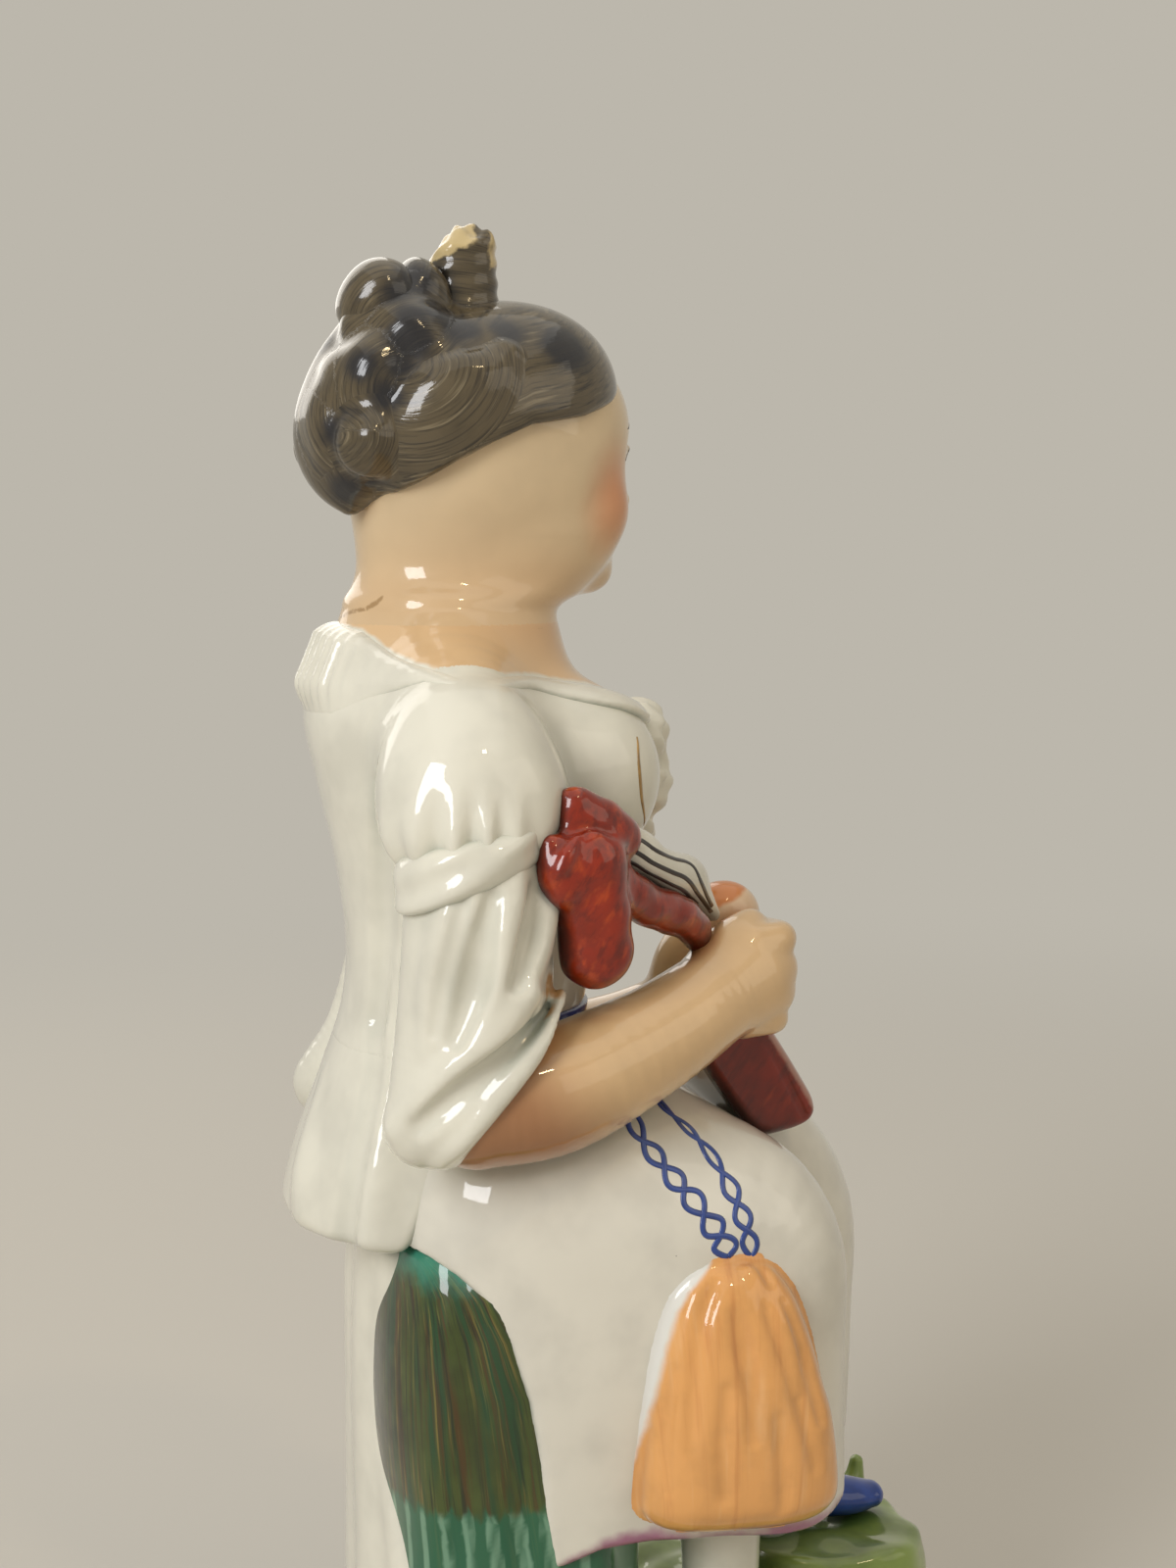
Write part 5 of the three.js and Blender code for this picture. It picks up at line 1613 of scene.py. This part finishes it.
    def pieces(self, scarf: Clay) -> list[Piece]:
        """Lists the castings of what is held or hangs.

        Args:
            scarf: The striped cloth.

        Returns:
            The pieces.
        """
        heights = [42, 50, 54.6, 59.7, 64.7, 69.2, 71.6, 74.4]
        edge = [8.0, 6.6, 5.2, 4.1, 3.0, 1.6, 0.2, -2.9]
        dabs = {"flow": law(lambda x, y, z: np.column_stack([y * 0.8 + z * 0.5, z - y, x]))}
        strokes = {
            "bare": law(lambda x, y, z: y - np.interp(z, heights, edge)),
            "flow": law(
                lambda x, y, z: np.column_stack([(y + 5.2) * np.clip(1.5 - (z - 45) * 0.012, 0.8, 2), z, x * 0.3])
            )
        }
        return self.doll() + [
            Piece("red_shawl", self.shawl(), 0.35, "red_shawl", Finish.RED, dabs),
            Piece("striped_cloth", scarf, 0.35, "striped_scarf", Finish.STRIPED),
            Piece("gathered_bag", attached(self.bag(), self.skirt, 1.2), 0.45, "reticule", Finish.ORANGE, strokes)
        ]


@dataclass
class Head:
    """The head with its hair, modelled facing forward and then turned on the neck."""

    bodice: Clay
    cut: float = 150.3
    turn: float = 17.0
    pivot: tuple[float, float] = (0.0, 19.0)
    hairline: tuple[tuple[float, float], ...] = (
        (-2, 181.3), (1.5, 179.9), (6, 177.2), (12, 175.4), (20, 174.2), (28, 170.6), (34, 166.0), (44, 163.0)
    )

    def unswing(self, p: Points) -> Points:
        """Places as they were before the head turned."""
        middle = spot(*self.pivot, 0)
        return (p - middle) @ turned((0, 0, self.turn)) + middle

    def swung(self, points: Rows) -> Points:
        """Places turned with the head."""
        middle = spot(*self.pivot, 0)
        return (np.array(points, float) - middle) @ turned((0, 0, self.turn)).T + middle

    def swing(self, clay: Clay) -> Clay:
        """Clay turned about the neck with the head."""
        corners = self.swung(list(product(*zip(clay.low, clay.high))))
        return Clay(corners.min(0), corners.max(0), lambda p: clay(self.unswing(p)))

    def face(self) -> Clay:
        """Models skull and a calm, regular face: eyes halfway down, then nose and mouth by equal thirds.

        Returns:
            The clay, facing forward.
        """
        sides = (-1, 1)
        skull = ball((0, 19.4, 173.5), (13.6, 16.8, 14.6))
        mask = ball((0, 13.0, 168.2), (11.4, 12.2, 14.0))
        brow = ball((0, 9.6, 175.6), (9.6, 8.6, 8.6))
        jaw = ball((0, 11.8, 160.4), (9.5, 9.3, 6.8))
        chin = ball((0, 4.9, 156.3), (3.4, 3.3, 2.7))
        cheeks = [ball((s * 5.6, 6.9, 164.2), (4.7, 4.1, 4.6)) for s in sides]
        out = join(2.6, join(4.0, skull, mask, brow, jaw), chin, *cheeks)
        out = carve(2.2, out, *(ball((s * 5.0, 0.1, 170.9), (3.0, 2.0, 1.9)) for s in sides))
        out = join(0.5, out, *(ball((s * 4.8, 4.7, 170.5), (2.6, 2.6, 2.2)) for s in sides))
        for s in sides:
            lid = [(s * 2.4, 2.7, 170.3), (s * 4.0, 1.9, 171.8), (s * 5.8, 2.2, 171.8), (s * 7.5, 4.0, 170.5)]
            under = [(s * 2.9, 2.8, 169.7), (s * 4.8, 2.3, 168.8), (s * 7.0, 3.8, 169.7)]
            out = join(0.5, out, rope(lid, [0.3, 0.5, 0.5, 0.3]), rope(under, [0.25, 0.4, 0.25]))
        nose = rope([(0, 2.5, 172.6), (0, 1.2, 168.6), (0, -0.1, 165.4)], [1.1, 1.25, 1.4])
        out = join(1.5, out, nose, *(ball((s * 1.5, 1.8, 164.6), (1.1, 1.3, 1.0)) for s in sides))
        bow = [(-3.2, 3.4, 160.6), (-1.4, 1.9, 161.2), (0, 1.6, 161.0), (1.4, 1.9, 161.2), (3.2, 3.4, 160.6)]
        lower = rope([(-2.6, 3.3, 159.8), (0, 1.7, 159.2), (2.6, 3.3, 159.8)], [0.4, 1.0, 0.4])
        out = join(0.7, out, rope(bow, [0.4, 0.8, 0.8, 0.8, 0.4]), lower)
        return carve(0.3, out, rope([(-3.1, 2.9, 160.3), (0, 0.7, 160.25), (3.1, 2.9, 160.3)], [0.15, 0.3, 0.15]))

    def skin(self) -> Clay:
        """Models face, neck and nape as one surface that runs on into the shoulders.

        Returns:
            The clay.
        """
        fade = 3.5
        grown = join(7.0, self.swing(self.face()), self.bodice)

        def depth(p: Points) -> Array:
            """Distance from the bodice's own neck at the cut, and from the head grown out of it above.

            Args:
                p: The places.

            Returns:
                Their distances.
            """
            share = np.clip((p[:, 2] - self.cut) / fade, 0, 1)
            share = share * share * (3 - 2 * share)
            return self.bodice(p) * (1 - share) + grown(p) * share

        out = swell(Clay(grown.low, grown.high, depth), -0.02)
        out = keep(0.05, out, beyond((0, 0, self.cut - 0.8), (0, 0, -1)))
        return sized(out, (-16, -2, self.cut - 1), (16, 38, 189))

    def line(self, y: Array) -> Array:
        """Height of the hairline at each depth of the head."""
        return np.interp(y, *np.array(self.hairline).T)

    def cap(self) -> Clay:
        """Models the smooth front sweep and crown.

        Returns:
            The clay, turned with the head.
        """
        front = ball((0, 14.2, 179.0), (12.4, 11.8, 10.4))
        mass = join(3.0, ball((0, 20.2, 175.2), (15.0, 17.2, 14.4)), ball((0, 27.6, 174.0), (13.4, 10.6, 12.0)), front)
        return self.swing(keep(1.0, mass, law(lambda x, y, z: (self.line(y) - z) * 0.92)))

    def lobe(self, pixel: Row, x: float, radii: Row, lean: float = 0.0) -> Clay:
        """One pressed lobe of hair, centred behind a pixel of the photograph."""
        return ball(EYE.at([pixel], x)[0], radii, (lean, 0, 0))

    def roll(self) -> Clay:
        """Models the large lock that sweeps from the crown down to the nape.

        Returns:
            The clay.
        """
        pixels = [(519, 360), (500, 386), (468, 412), (436, 436), (404, 458), (380, 480)]
        line = EYE.at(pixels, [-12.4, -13.2, -13.4, -12.6, -10.6, -8.4])
        return rope(line, [1.8, 4.2, 5.7, 5.2, 4.0, 1.8], [1.2, 2.8, 3.2, 3.2, 2.8, 1.6], up=(1, 0, 0))

    def locks(self) -> list[Clay]:
        """Models the lobes that run down behind the roll, from the crown to the nape.

        Returns:
            The lobes.
        """
        nape = [(366, 342), (347, 378), (335, 412), (329, 445), (333, 470), (344, 492), (356, 516)]
        return [
            self.lobe((421, 347), -7.0, (5.4, 5.6, 4.9), 20), self.lobe((379, 387), -8.6, (4.8, 4.3, 5.6), 8),
            self.lobe((350, 406), -5.6, (4.8, 3.2, 5.6), -6), self.lobe((338, 446), -4.6, (5.4, 3.4, 5.8), -14),
            self.lobe((357, 480), -4.6, (5.2, 3.3, 4.4), -30),
            rope(EYE.at(nape, [0, -0.6, -1, -1.2, -2.0, -3.6, -4.8]), [2.8, 3.4, 3.6, 3.5, 3.2, 2.6, 1.0]),
            rope(EYE.at([(372, 334), (398, 318), (432, 300)], [-5, -5, -3.6]), [3.0, 3.4, 3.2]),
            self.lobe((424, 292), -2.0, (4.2, 2.4, 3.4))
        ]

    def knot(self) -> Clay:
        """Models the top knot, with faint rings and a chipped tip.

        Returns:
            The clay.
        """
        knot = stack([
            (186, 22.6, 5.0, 5.6, 5.6, 2.1), (190.2, 22.0, 4.3, 4.7, 4.9, 2.1), (193, 21.8, 4.2, 4.3, 4.7, 2.2),
            (196, 21.6, 4.0, 4.0, 4.4, 2.2), (198.9, 21.4, 3.6, 3.9, 3.9, 2.3)
        ])
        chips = [
            beyond((0, 23.0, 198.4), (0.1, 0.76, 0.65)), beyond((0, 20.4, 198.8), (0.12, -0.66, 0.75)),
            beyond((-2.6, 21, 198.0), (-0.75, 0.1, 0.8)), beyond((1.6, 21, 198.6), (0.6, 0, 0.8))
        ]

        def pits(x: Array, y: Array, z: Array) -> Array:
            """Height of the rough clay at the tip."""
            return 0.35 * np.sin(x * 1.9) * np.sin(y * 1.7 + 1) * np.clip((z - 195.5) / 2, 0, 1) - 0.1

        knot = swell(knot, law(lambda x, y, z: 0.1 * np.sin(z * 2.6 + y * 0.3)))
        return swell(keep(0.25, knot, *chips), law(pits))

    def smudge_and_crease_shade(self, crown: Clay) -> Field:
        """Lays out the black smudges of the hair: partly the enamel's own dark patches, partly painted shade in the
        creases between lobes and between the bun and the knot.

        Args:
            crown: The hair that they lie on.

        Returns:
            A mark that is positive inside them.
        """
        across = 0.62
        smudges = [
            ((578, 353), 6.0), ((405, 300), 3.6), ((517, 337), 3.8), ((470, 335), 4.4), ((418, 346), 5.0),
            ((408, 372), 3.4), ((367, 371), 3.6), ((394, 404), 3.4), ((446, 316), 4.4), ((424, 286), 4.4),
            ((420, 322), 3.8), ((378, 484), 3.0), ((330, 352), 3.0), ((352, 500), 3.6), ((340, 440), 2.8),
            ((362, 432), 3.0)
        ]
        places = [(EYE.onto(crown, [pixel])[0], far) for pixel, far in smudges]
        return lambda p: np.max([across * far - np.linalg.norm(p - at, axis=1) for at, far in places], axis=0)

    def strands(self, cap: Clay, locks: list[Clay]) -> Field:
        """Lays out the strands of the crown: swept back on the cap, and wound round each lock but the last.

        Args:
            cap: The cap, turned with the head.
            locks: The lobes behind the roll.

        Returns:
            The flow.
        """
        apart = 3.7
        middles = [(436, 382), (410, 402), (392, 412), (372, 420), (380, 470), (400, 440), (400, 400)]
        flows = [swirl(pixel, -8) for pixel in middles]

        def flow(p: Points) -> Array:
            """Turns places into their row of the flow.

            Args:
                p: The places.

            Returns:
                The rows, each by the lobe that lies nearest.
            """
            x, y, z = self.unswing(p).T
            out = np.column_stack([(z - self.line(y)) * 0.8 + 0.25 * np.abs(x), y, x * 0.15])
            nearest = np.stack([lobe(p) for lobe in (cap, *locks)]).argmin(axis=0)
            for i, way in enumerate(flows):
                chosen = nearest == i + 1
                if chosen.any():
                    out[chosen] = way(p[chosen]) + apart * i
            return out

        return flow

    def painted(self, skin: Clay) -> dict[str, Field]:
        """Lays out what is painted on the face, the warm painted shade round the neck's base, and the crack in its
        glaze.

        Args:
            skin: The face that carries it.

        Returns:
            The marks by name.
        """
        cheeks = self.swung([(-9.0, 6.4, 165.6), (9.0, 6.4, 165.6)])
        lips = self.swung([(-2.1, 2.0, 160.3), (-0.8, 1.2, 160.3), (0.8, 1.2, 160.3), (2.1, 2.0, 160.3)])
        crack = EYE.onto(skin, [(348, 630), (360, 624), (371, 622), (384, 615), (391, 608)])
        # The warm band round the neck's base is painted shade.
        return {
            "warm_shade": law(lambda x, y, z: 2.5 - np.abs(z - 152.5) * 0.45), "blush": dabs(4.2, cheeks, 0.75),
            "lips": dabs(1.15, lips, 1.25), "crack": outside(rope(crack, [0.15, 0.3, 0.2, 0.35, 0.1]))
        }

    def pieces(self, skin: Clay) -> list[Piece]:
        """Lists the castings of head and hair.

        Args:
            skin: The face and neck.

        Returns:
            The pieces.
        """
        cap, locks, roll = self.cap(), self.locks(), self.roll()
        crown = join(2.4, cap, *locks, *(mirrored(v, (1.5, -2.0, 0)) for v in locks[:2]))
        tip = rope(EYE.at([(380, 446), (384, 431), (381, 418)], [-12.6, -12.0, -10.8]), [2.6, 1.7, 0.6])
        coil = join(1.8, self.lobe((377, 452), -11.4, (2.3, 3.9, 4.0), 10), tip)
        low = self.lobe((372, 314), -3.4, (4.6, 3.4, 3.6), 35)
        bun = join(1.6, self.lobe((390, 302), -3.8, (5.2, 4.7, 4.6), 25), low)
        sweep, wound, arc = swirl((401, 348), -13), swirl((318, 440), -13), swirl((400, 340), -4)

        def rings(x: Array, y: Array, z: Array) -> Array:
            """Strands that lie round the top knot."""
            return np.column_stack([z * 1.1 - 0.12 * y + 0.1 * x, np.arctan2(x, y - 22) * 4, x * 0])

        def chipped(x: Array, y: Array, z: Array) -> Array:
            """Where the top knot's enamel is worn off: at its tip and on its front edge."""
            return np.maximum(np.minimum(z - 196.2 + 0.5 * (y - 22), y - 20.6), np.minimum(z - 193.8, 18.9 - y) * 0.8)

        # Black smudges, partly painted shade in the creases between lobes.
        smudge_and_crease_shade = self.smudge_and_crease_shade(crown)
        hair = [
            ("hair_crown", crown, 0.42, "hair_cap", self.strands(cap, locks)),
            ("right_side_roll", attached(roll, crown, 1.0), 0.38, "hair_roll_right", sweep),
            ("left_side_roll", mirrored(roll, (2.0, 1.5, 0)), 0.42, "hair_roll_left", sweep),
            ("right_coil", attached(coil, crown, 2.0), 0.36, "hair_coil_right", wound),
            ("left_coil", mirrored(coil, (-4.5, 3.4, 0)), 0.42, "hair_coil_left", wound),
            ("crown_bun", bun, 0.4, "hair_bun", arc), ("top_knot", self.knot(), 0.3, "hair_top_knot", law(rings))
        ]
        pieces = [Piece("face_and_neck", skin, 0.42, "head", Finish.FACE, self.painted(skin))]
        pieces += [Piece(*row, Finish.HAIR, {"flow": flow, "smudge_and_crease_shade": smudge_and_crease_shade}) for *row, flow in hair]
        pieces[-1].marks["chipped"] = law(chipped)
        return pieces


# Painted lines


def paint_line(line: Line) -> tuple[Points, list[tuple[int, ...]]]:
    """Lays a thin closed bead of enamel on clay.

    Args:
        line: The line.

    Returns:
        The bead's vertices and faces.
    """
    few, least, edge, sink, bulge = 30, 12, 0.015, 0.15, 0.02
    given = len(line.points)
    count = given if given >= few else max(least, 5 * given)
    rows = smooth(np.column_stack([line.points, np.broadcast_to(line.half, given)]), count)
    middle = line.clay.onto(rows[:, :3])
    normal = line.clay.slope(middle)
    normal /= np.linalg.norm(normal, axis=1)[:, None]
    along = np.gradient(middle, axis=0)
    along /= np.maximum(np.linalg.norm(along, axis=1), 1e-6)[:, None]
    side = np.cross(along, normal) * rows[:, 3:]
    left, right = line.clay.onto(middle + side, edge), line.clay.onto(middle - side, edge)
    top, under = middle + normal * line.rise, middle - normal * sink
    flanks = [(low + top) / 2 + normal * bulge for low in (left, right)]
    rings = np.stack([left, flanks[0], top, flanks[1], right, under], 1)
    size = rings.shape[1]
    faces = []
    for i in range(count - 1):
        for j in range(size):
            a, b = i * size + j, i * size + (j + 1) % size
            faces.append((a, b, b + size, a + size))
    ends = tuple(range(size))[::-1], tuple(range((count - 1) * size, count * size))
    return rings.reshape(-1, 3), [*faces, *ends]


def chain(skirt: Clay, pixels: Rows, widths: Row, links: int) -> list[Points]:
    """Two strands that cross again and again, like a twisted chain.

    Args:
        skirt: The clay that it is painted on.
        pixels: Its middle, in pixels of the photograph.
        widths: Half width of the links at each place, in pixels.
        links: How many links it has.

    Returns:
        The places of each strand.
    """
    rows = smooth([(*p, w) for p, w in zip(pixels, widths)], 16 * links)
    along = np.gradient(rows[:, :2], axis=0)
    along /= np.linalg.norm(along, axis=1)[:, None]
    side = np.column_stack([-along[:, 1], along[:, 0]])
    phase = np.linspace(0, links * math.pi, len(rows))
    shifts = [side * (sign * np.sin(phase) * rows[:, 2])[:, None] for sign in (-1, 1)]
    return [EYE.onto(skirt, rows[:, :2] + shift) for shift in shifts]


# The studio and the whole figure


@dataclass(frozen=True)
class Lamp:
    """A rectangular soft lamp: its place, what it looks at and its size in metres, watts and colour."""

    name: str
    place: tuple[float, float, float]
    aim: tuple[float, float, float]
    size: tuple[float, float]
    watts: float
    colour: str

    def hang(self) -> None:
        """Makes the lamp."""
        data = bpy.data.lights.new(self.name, "AREA")
        data.shape, data.size, data.size_y = "RECTANGLE", *self.size
        data.energy, data.color = self.watts, linear(self.colour)[:3]
        thing = bpy.data.objects.new(self.name, data)
        thing.location = self.place
        way = Vector(self.aim) - Vector(self.place)
        thing.rotation_euler = way.to_track_quat("-Z", "Y").to_euler()
        bpy.context.scene.collection.objects.link(thing)


@dataclass
class Studio:
    """A pale floor and wall with a window to the left, a softer one to the right and a small warm lamp."""

    floor: str = "#CBC6BC"
    wall: str = "#BCB7AC"
    lamps: tuple[Lamp, ...] = (
        Lamp("ceiling", (0, 0, 2.4), (0, 0, 0), (3.0, 3.0), 12.5, "#FFFDF8"),
        Lamp("window", (-0.55, 0.62, 0.55), (0, 0, 0.13), (0.34, 0.5), 5.4, "#F6F7FA"),
        Lamp("room", (-0.5, -0.6, 0.5), (0, 0, 0.12), (0.7, 0.5), 0.9, "#FFF4E2"),
        Lamp("far_side", (0.6, 0.2, 0.5), (0, 0, 0.12), (0.6, 0.6), 1.6, "#FFFAF2"),
        Lamp("bulb", (-0.42, -0.12, 0.72), (0, 0, 0.15), (0.05, 0.03), 0.3, "#FFE2B0")
    )

    def sees(self, tree: NodeTree) -> NodeSocket:
        """Tells the rays that show the background itself from those that only carry its light.

        Args:
            tree: The nodes to add to.

        Returns:
            One for straight, mirrored or refracted sight.
        """
        straight = add(tree, "LightPath", {}, "Is Camera Ray")
        ways = straight.node.outputs
        mirrored_too = add(tree, "Math", {0: straight, 1: ways["Is Glossy Ray"]}, operation="MAXIMUM")
        return add(tree, "Math", {0: mirrored_too, 1: ways["Is Transmission Ray"]}, operation="MAXIMUM")

    def ground(self) -> None:
        """Makes the floor, which isn't part of the object and runs into the wall's colour far from it."""
        far, near_end, far_end = 3000, 0.18, 0.75
        corners_mm = [(-far, -far, 0), (far, -far, 0), (far, far, 0), (-far, far, 0)]
        thing = mesh_object("floor", corners_mm, [(0, 1, 2, 3)])
        material = bpy.data.materials.new("floor")
        material.use_nodes = True
        tree = material.node_tree
        tree.nodes.clear()
        matt = {"Base Color": linear(self.floor), "Roughness": 0.85, "Specular IOR Level": 0.1}
        near = add(tree, "BsdfPrincipled", matt)
        away = add(tree, "VectorMath", {0: add(tree, "TexCoord", {}, "Object")}, "Value", operation="LENGTH")
        span = {"Value": away, 1: near_end, 2: far_end, 3: 0.0, 4: 1.0}
        share = add(tree, "MapRange", span, interpolation_type="SMOOTHSTEP")
        seen = add(tree, "Math", {0: share, 1: self.sees(tree)}, operation="MULTIPLY")
        wall = add(tree, "Emission", {"Color": linear(self.wall), "Strength": 1.0})
        add(tree, "OutputMaterial", {"Surface": add(tree, "MixShader", {0: seen, 1: near, 2: wall})})
        thing.data.materials.append(material)
        thing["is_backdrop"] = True

    def build(self) -> None:
        """Makes the floor, the wall, the lamps and the world."""
        self.ground()
        for lamp in self.lamps:
            lamp.hang()
        world = bpy.data.worlds.new("room")
        bpy.context.scene.world = world
        world.use_nodes = True
        tree = world.node_tree
        tree.nodes.clear()
        dim = add(tree, "Background", {0: linear("#E8E4DC"), 1: 0.37})
        wall = add(tree, "Background", {0: linear(self.wall), 1: 1.0})
        add(tree, "OutputWorld", {"Surface": add(tree, "MixShader", {0: self.sees(tree), 1: dim, 2: wall})})
        bpy.context.scene.view_settings.view_transform = "Standard"


@dataclass
class Figure:
    """All castings of the figure and the lines painted on them.

    A grid of places holds the distance to the nearest piece, so that glaze can pool, and painted shade can darken,
    where pieces meet.
    """

    pieces: list[Piece] = field(default_factory=list)
    lines: list[Line] = field(default_factory=list)
    grid_low: Array = field(default_factory=lambda: spot(-42, -50, -4))
    grid_high: Array = field(default_factory=lambda: spot(42, 50, 204))
    grid_step: float = 1.5
    grid: Array | None = None

    def gather(self) -> None:
        """Models every part, and lays out the lines painted on them."""
        skirt, jacket = Skirt(), Jacket()
        cloth, bodice = skirt.skirt(), jacket.bodice()
        held, head = Held(cloth), Head(bodice)
        scarf, skin = held.scarf(), head.skin()
        self.pieces += Ground().pieces() + skirt.pieces(cloth) + jacket.pieces(bodice)
        self.pieces += Sleeve(Side.RIGHT, bodice).pieces() + Sleeve(Side.LEFT, bodice, 5.5).pieces()
        self.pieces += held.pieces(scarf) + head.pieces(skin)
        edge = EYE.onto(bodice, [(650, 752), (652, 780), (655, 815), (657, 842)])
        self.lines += self.chains(cloth)
        self.lines.append(Line("gilt_line", bodice, edge, [0.15, 0.28, 0.28, 0.12], Finish.GILT, 0.09))
        self.lines += self.stripes(scarf) + self.features(head, skin)

    def chains(self, cloth: Clay) -> list[Line]:
        """Lays out the two painted chains that hold the bag.

        Args:
            cloth: The skirt.

        Returns:
            Two strands for each.
        """
        links = 6
        near = [(641, 1130), (654, 1160), (672, 1183), (690, 1205), (706, 1223), (724, 1247), (737, 1264), (743, 1283)]
        far = [
            (668, 1118), (681, 1133), (701, 1151), (719, 1170), (737, 1196), (749, 1220), (758, 1242), (764, 1262),
            (767, 1284)
        ]
        rows = [("near", near, [6, 7, 8, 9, 10, 11, 12, 11]), ("far", far, [2, 2, 3, 4, 6, 8, 8, 8, 6])]
        return [
            Line(f"{name}_chain_{i + 1}", cloth, strand, 0.38, Finish.BLUE, 0.08 + 0.05 * i) for name, pixels,
            widths in rows for i, strand in enumerate(chain(cloth, pixels, widths, links))
        ]

    def stripes(self, scarf: Clay) -> list[Line]:
        """Lays out the stripes of the striped cloth.

        Args:
            scarf: The cloth.

        Returns:
            The lines.
        """
        stripes = [
            [(634, 851), (652, 856), (670, 868), (688, 876), (704, 881), (716, 901), (727, 925)],
            [(630, 863), (650, 870), (667, 881), (686, 890), (701, 897), (713, 913), (726, 931)],
            [(630, 875), (648, 882), (664, 892), (684, 902), (698, 909), (711, 922)], [(638, 845), (650, 848)]
        ]
        return [
            Line(f"stripe_{i}", scarf, EYE.onto(scarf, pixels), 0.28, Finish.INK) for i,
            pixels in enumerate(stripes, 1)
        ]

    def features(self, head: Head, skin: Clay) -> list[Line]:
        """Lays out brows, lashes and irises.

        Args:
            head: The head.
            skin: The face that carries them.

        Returns:
            The lines, the right side's first.
        """
        lines = []
        for name, s in (("right", -1), ("left", 1)):
            brow = [(s * 2.0, 1.0, 174.0), (s * 4.4, 0.8, 175.0), (s * 7.3, 3.2, 174.2)]
            lash = [(s * 2.5, 2.0, 170.6), (s * 4.2, 1.0, 171.6), (s * 5.8, 1.4, 171.6), (s * 7.4, 3.8, 170.4)]
            iris = [(s * 4.4, 1.7, 171.2), (s * 4.4, 1.7, 169.7)]
            rows = [("brow", brow, [0.2, 0.32, 0.1]), ("lash", lash, [0.12, 0.25, 0.28, 0.08]), ("iris", iris, 0.6)]
            for kind, points, half in rows:
                lines.append(Line(f"{name}_{kind}", skin, head.swung(points), half, Finish.INK, slot="flesh_glaze"))
        return lines

    def measure(self, piece: Piece) -> tuple[tuple[slice, ...], Array]:
        """Measures how far the grid's places lie from one piece.

        Args:
            piece: The piece.

        Returns:
            The part of the grid round it, and the distances there.
        """
        room = 5
        first = np.maximum(((piece.clay.low - room - self.grid_low) / self.grid_step).astype(int), 0)
        last = ((piece.clay.high + room - self.grid_low) / self.grid_step).astype(int) + 1
        last = np.minimum(last, self.grid.shape)
        sides = [self.grid_low[i] + self.grid_step * np.arange(first[i], last[i]) for i in range(3)]
        spots = np.stack(np.meshgrid(*sides, indexing="ij"), -1)
        return tuple(map(slice, first, last)), piece.clay(spots.reshape(-1, 3)).reshape(spots.shape[:3])

    def around(self, points: Points) -> Array:
        """Reads the distance to the nearest piece from the grid.

        Args:
            points: The places.

        Returns:
            A distance for each.
        """
        at = (points - self.grid_low) / self.grid_step
        i = np.clip(at.astype(int), 0, np.array(self.grid.shape) - 2)
        t = np.clip(at - i, 0, 1)
        out = np.zeros(len(points))
        for corner in range(8):
            step = np.array([corner & 1, corner >> 1 & 1, corner >> 2 & 1])
            share = np.prod(np.where(step, t, 1 - t), axis=1)
            out += share * self.grid[tuple((i + step).T)]
        return out

    def model(self, piece: Piece, coarse: float) -> tuple[Points, Array, dict[str, Array]]:
        """Casts one piece and works out the marks on it.

        Args:
            piece: The piece.
            coarse: How much wider than usual its mesh is spaced.

        Returns:
            Its points, its quads and a value on each point for every mark.
        """
        unpainted = -50.0
        points, faces = cast(piece.clay, piece.step * coarse)
        away = outward(points, faces)
        # Pooled glaze and painted shade: darker where the piece folds in on itself and where other pieces lie within a
        # few millimetres.
        close = np.clip(1 - piece.clay(points + away * 0.7) / 0.7, 0, 1)
        wide = [np.clip(1 - self.around(points + away * far) / far, 0, 1) for far in (2.0, 4.5)]
        marks = {"pool_and_shade": 0.34 * close + 0.36 * wide[0] + 0.3 * wide[1]}
        marks |= {paint.mark: np.full(len(points), unpainted) for paint in piece.finish.value.paints}
        marks |= {name: mark(points) for name, mark in piece.marks.items()}
        return points, faces, marks

    def cast_all(self, coarse: float) -> None:
        """Models all pieces side by side and makes their objects in order.

        Args:
            coarse: How much wider than usual the meshes are spaced.
        """
        crew_size, far_off = 4, 5.0
        counts = np.ceil((self.grid_high - self.grid_low) / self.grid_step).astype(int) + 1
        self.grid = np.full(counts, far_off)
        with ThreadPoolExecutor(crew_size) as crew:
            for where, depth in crew.map(self.measure, self.pieces):
                self.grid[where] = np.minimum(self.grid[where], depth)
            for piece, casting in zip(self.pieces, crew.map(lambda v: self.model(v, coarse), self.pieces)):
                self.make(piece, *casting)

    def make(self, piece: Piece, points: Points, faces: Array, marks: dict[str, Array]) -> None:
        """Makes and dresses one piece's object, attaches it to the root body and hides the part that it stands for.

        Args:
            piece: The piece.
            points: Its points.
            faces: Its quads.
            marks: A value on each point for every mark.
        """
        thing = mesh_object(piece.name, points, faces.tolist())
        for name, values in marks.items():
            note(thing, name, values)
        dress(thing, piece.finish)
        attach(thing, "root")
        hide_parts(piece.node)
        low, high = points.min(axis=0).round(1), points.max(axis=0).round(1)
        LOG.info("%s: %d faces, %s, %s to %s", piece.name, len(faces), piece.finish.value.name, low, high)

    def paint(self, line: Line) -> None:
        """Makes and dresses one painted line, and attaches it to the root body."""
        thing = mesh_object(line.name, *paint_line(line))
        dress(thing, line.finish)
        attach(thing, "root")
        line.slot or line.finish.value.slot
        LOG.info("%s: painted line", line.name)


def corners(bounds: object) -> list[list[float]]:
    """A box as plain lists of numbers."""
    return [[float(v) for v in corner] for corner in bounds]


def main() -> None:
    """Loads the frame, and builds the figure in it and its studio."""
    logging.basicConfig(
        level=logging.INFO, format="%(relativeCreated)d %(name)s %(message)s", stream=sys.stdout, force=True
    )
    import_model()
    model_box = corners(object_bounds())
    EYE.set_up()
    Studio().build()
    figure = Figure()
    figure.gather()
    figure.cast_all(1.0)
    for line in figure.lines:
        figure.paint(line)
    {"model": model_box, "visual": corners(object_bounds())}


if __name__ == "__main__":
    main()
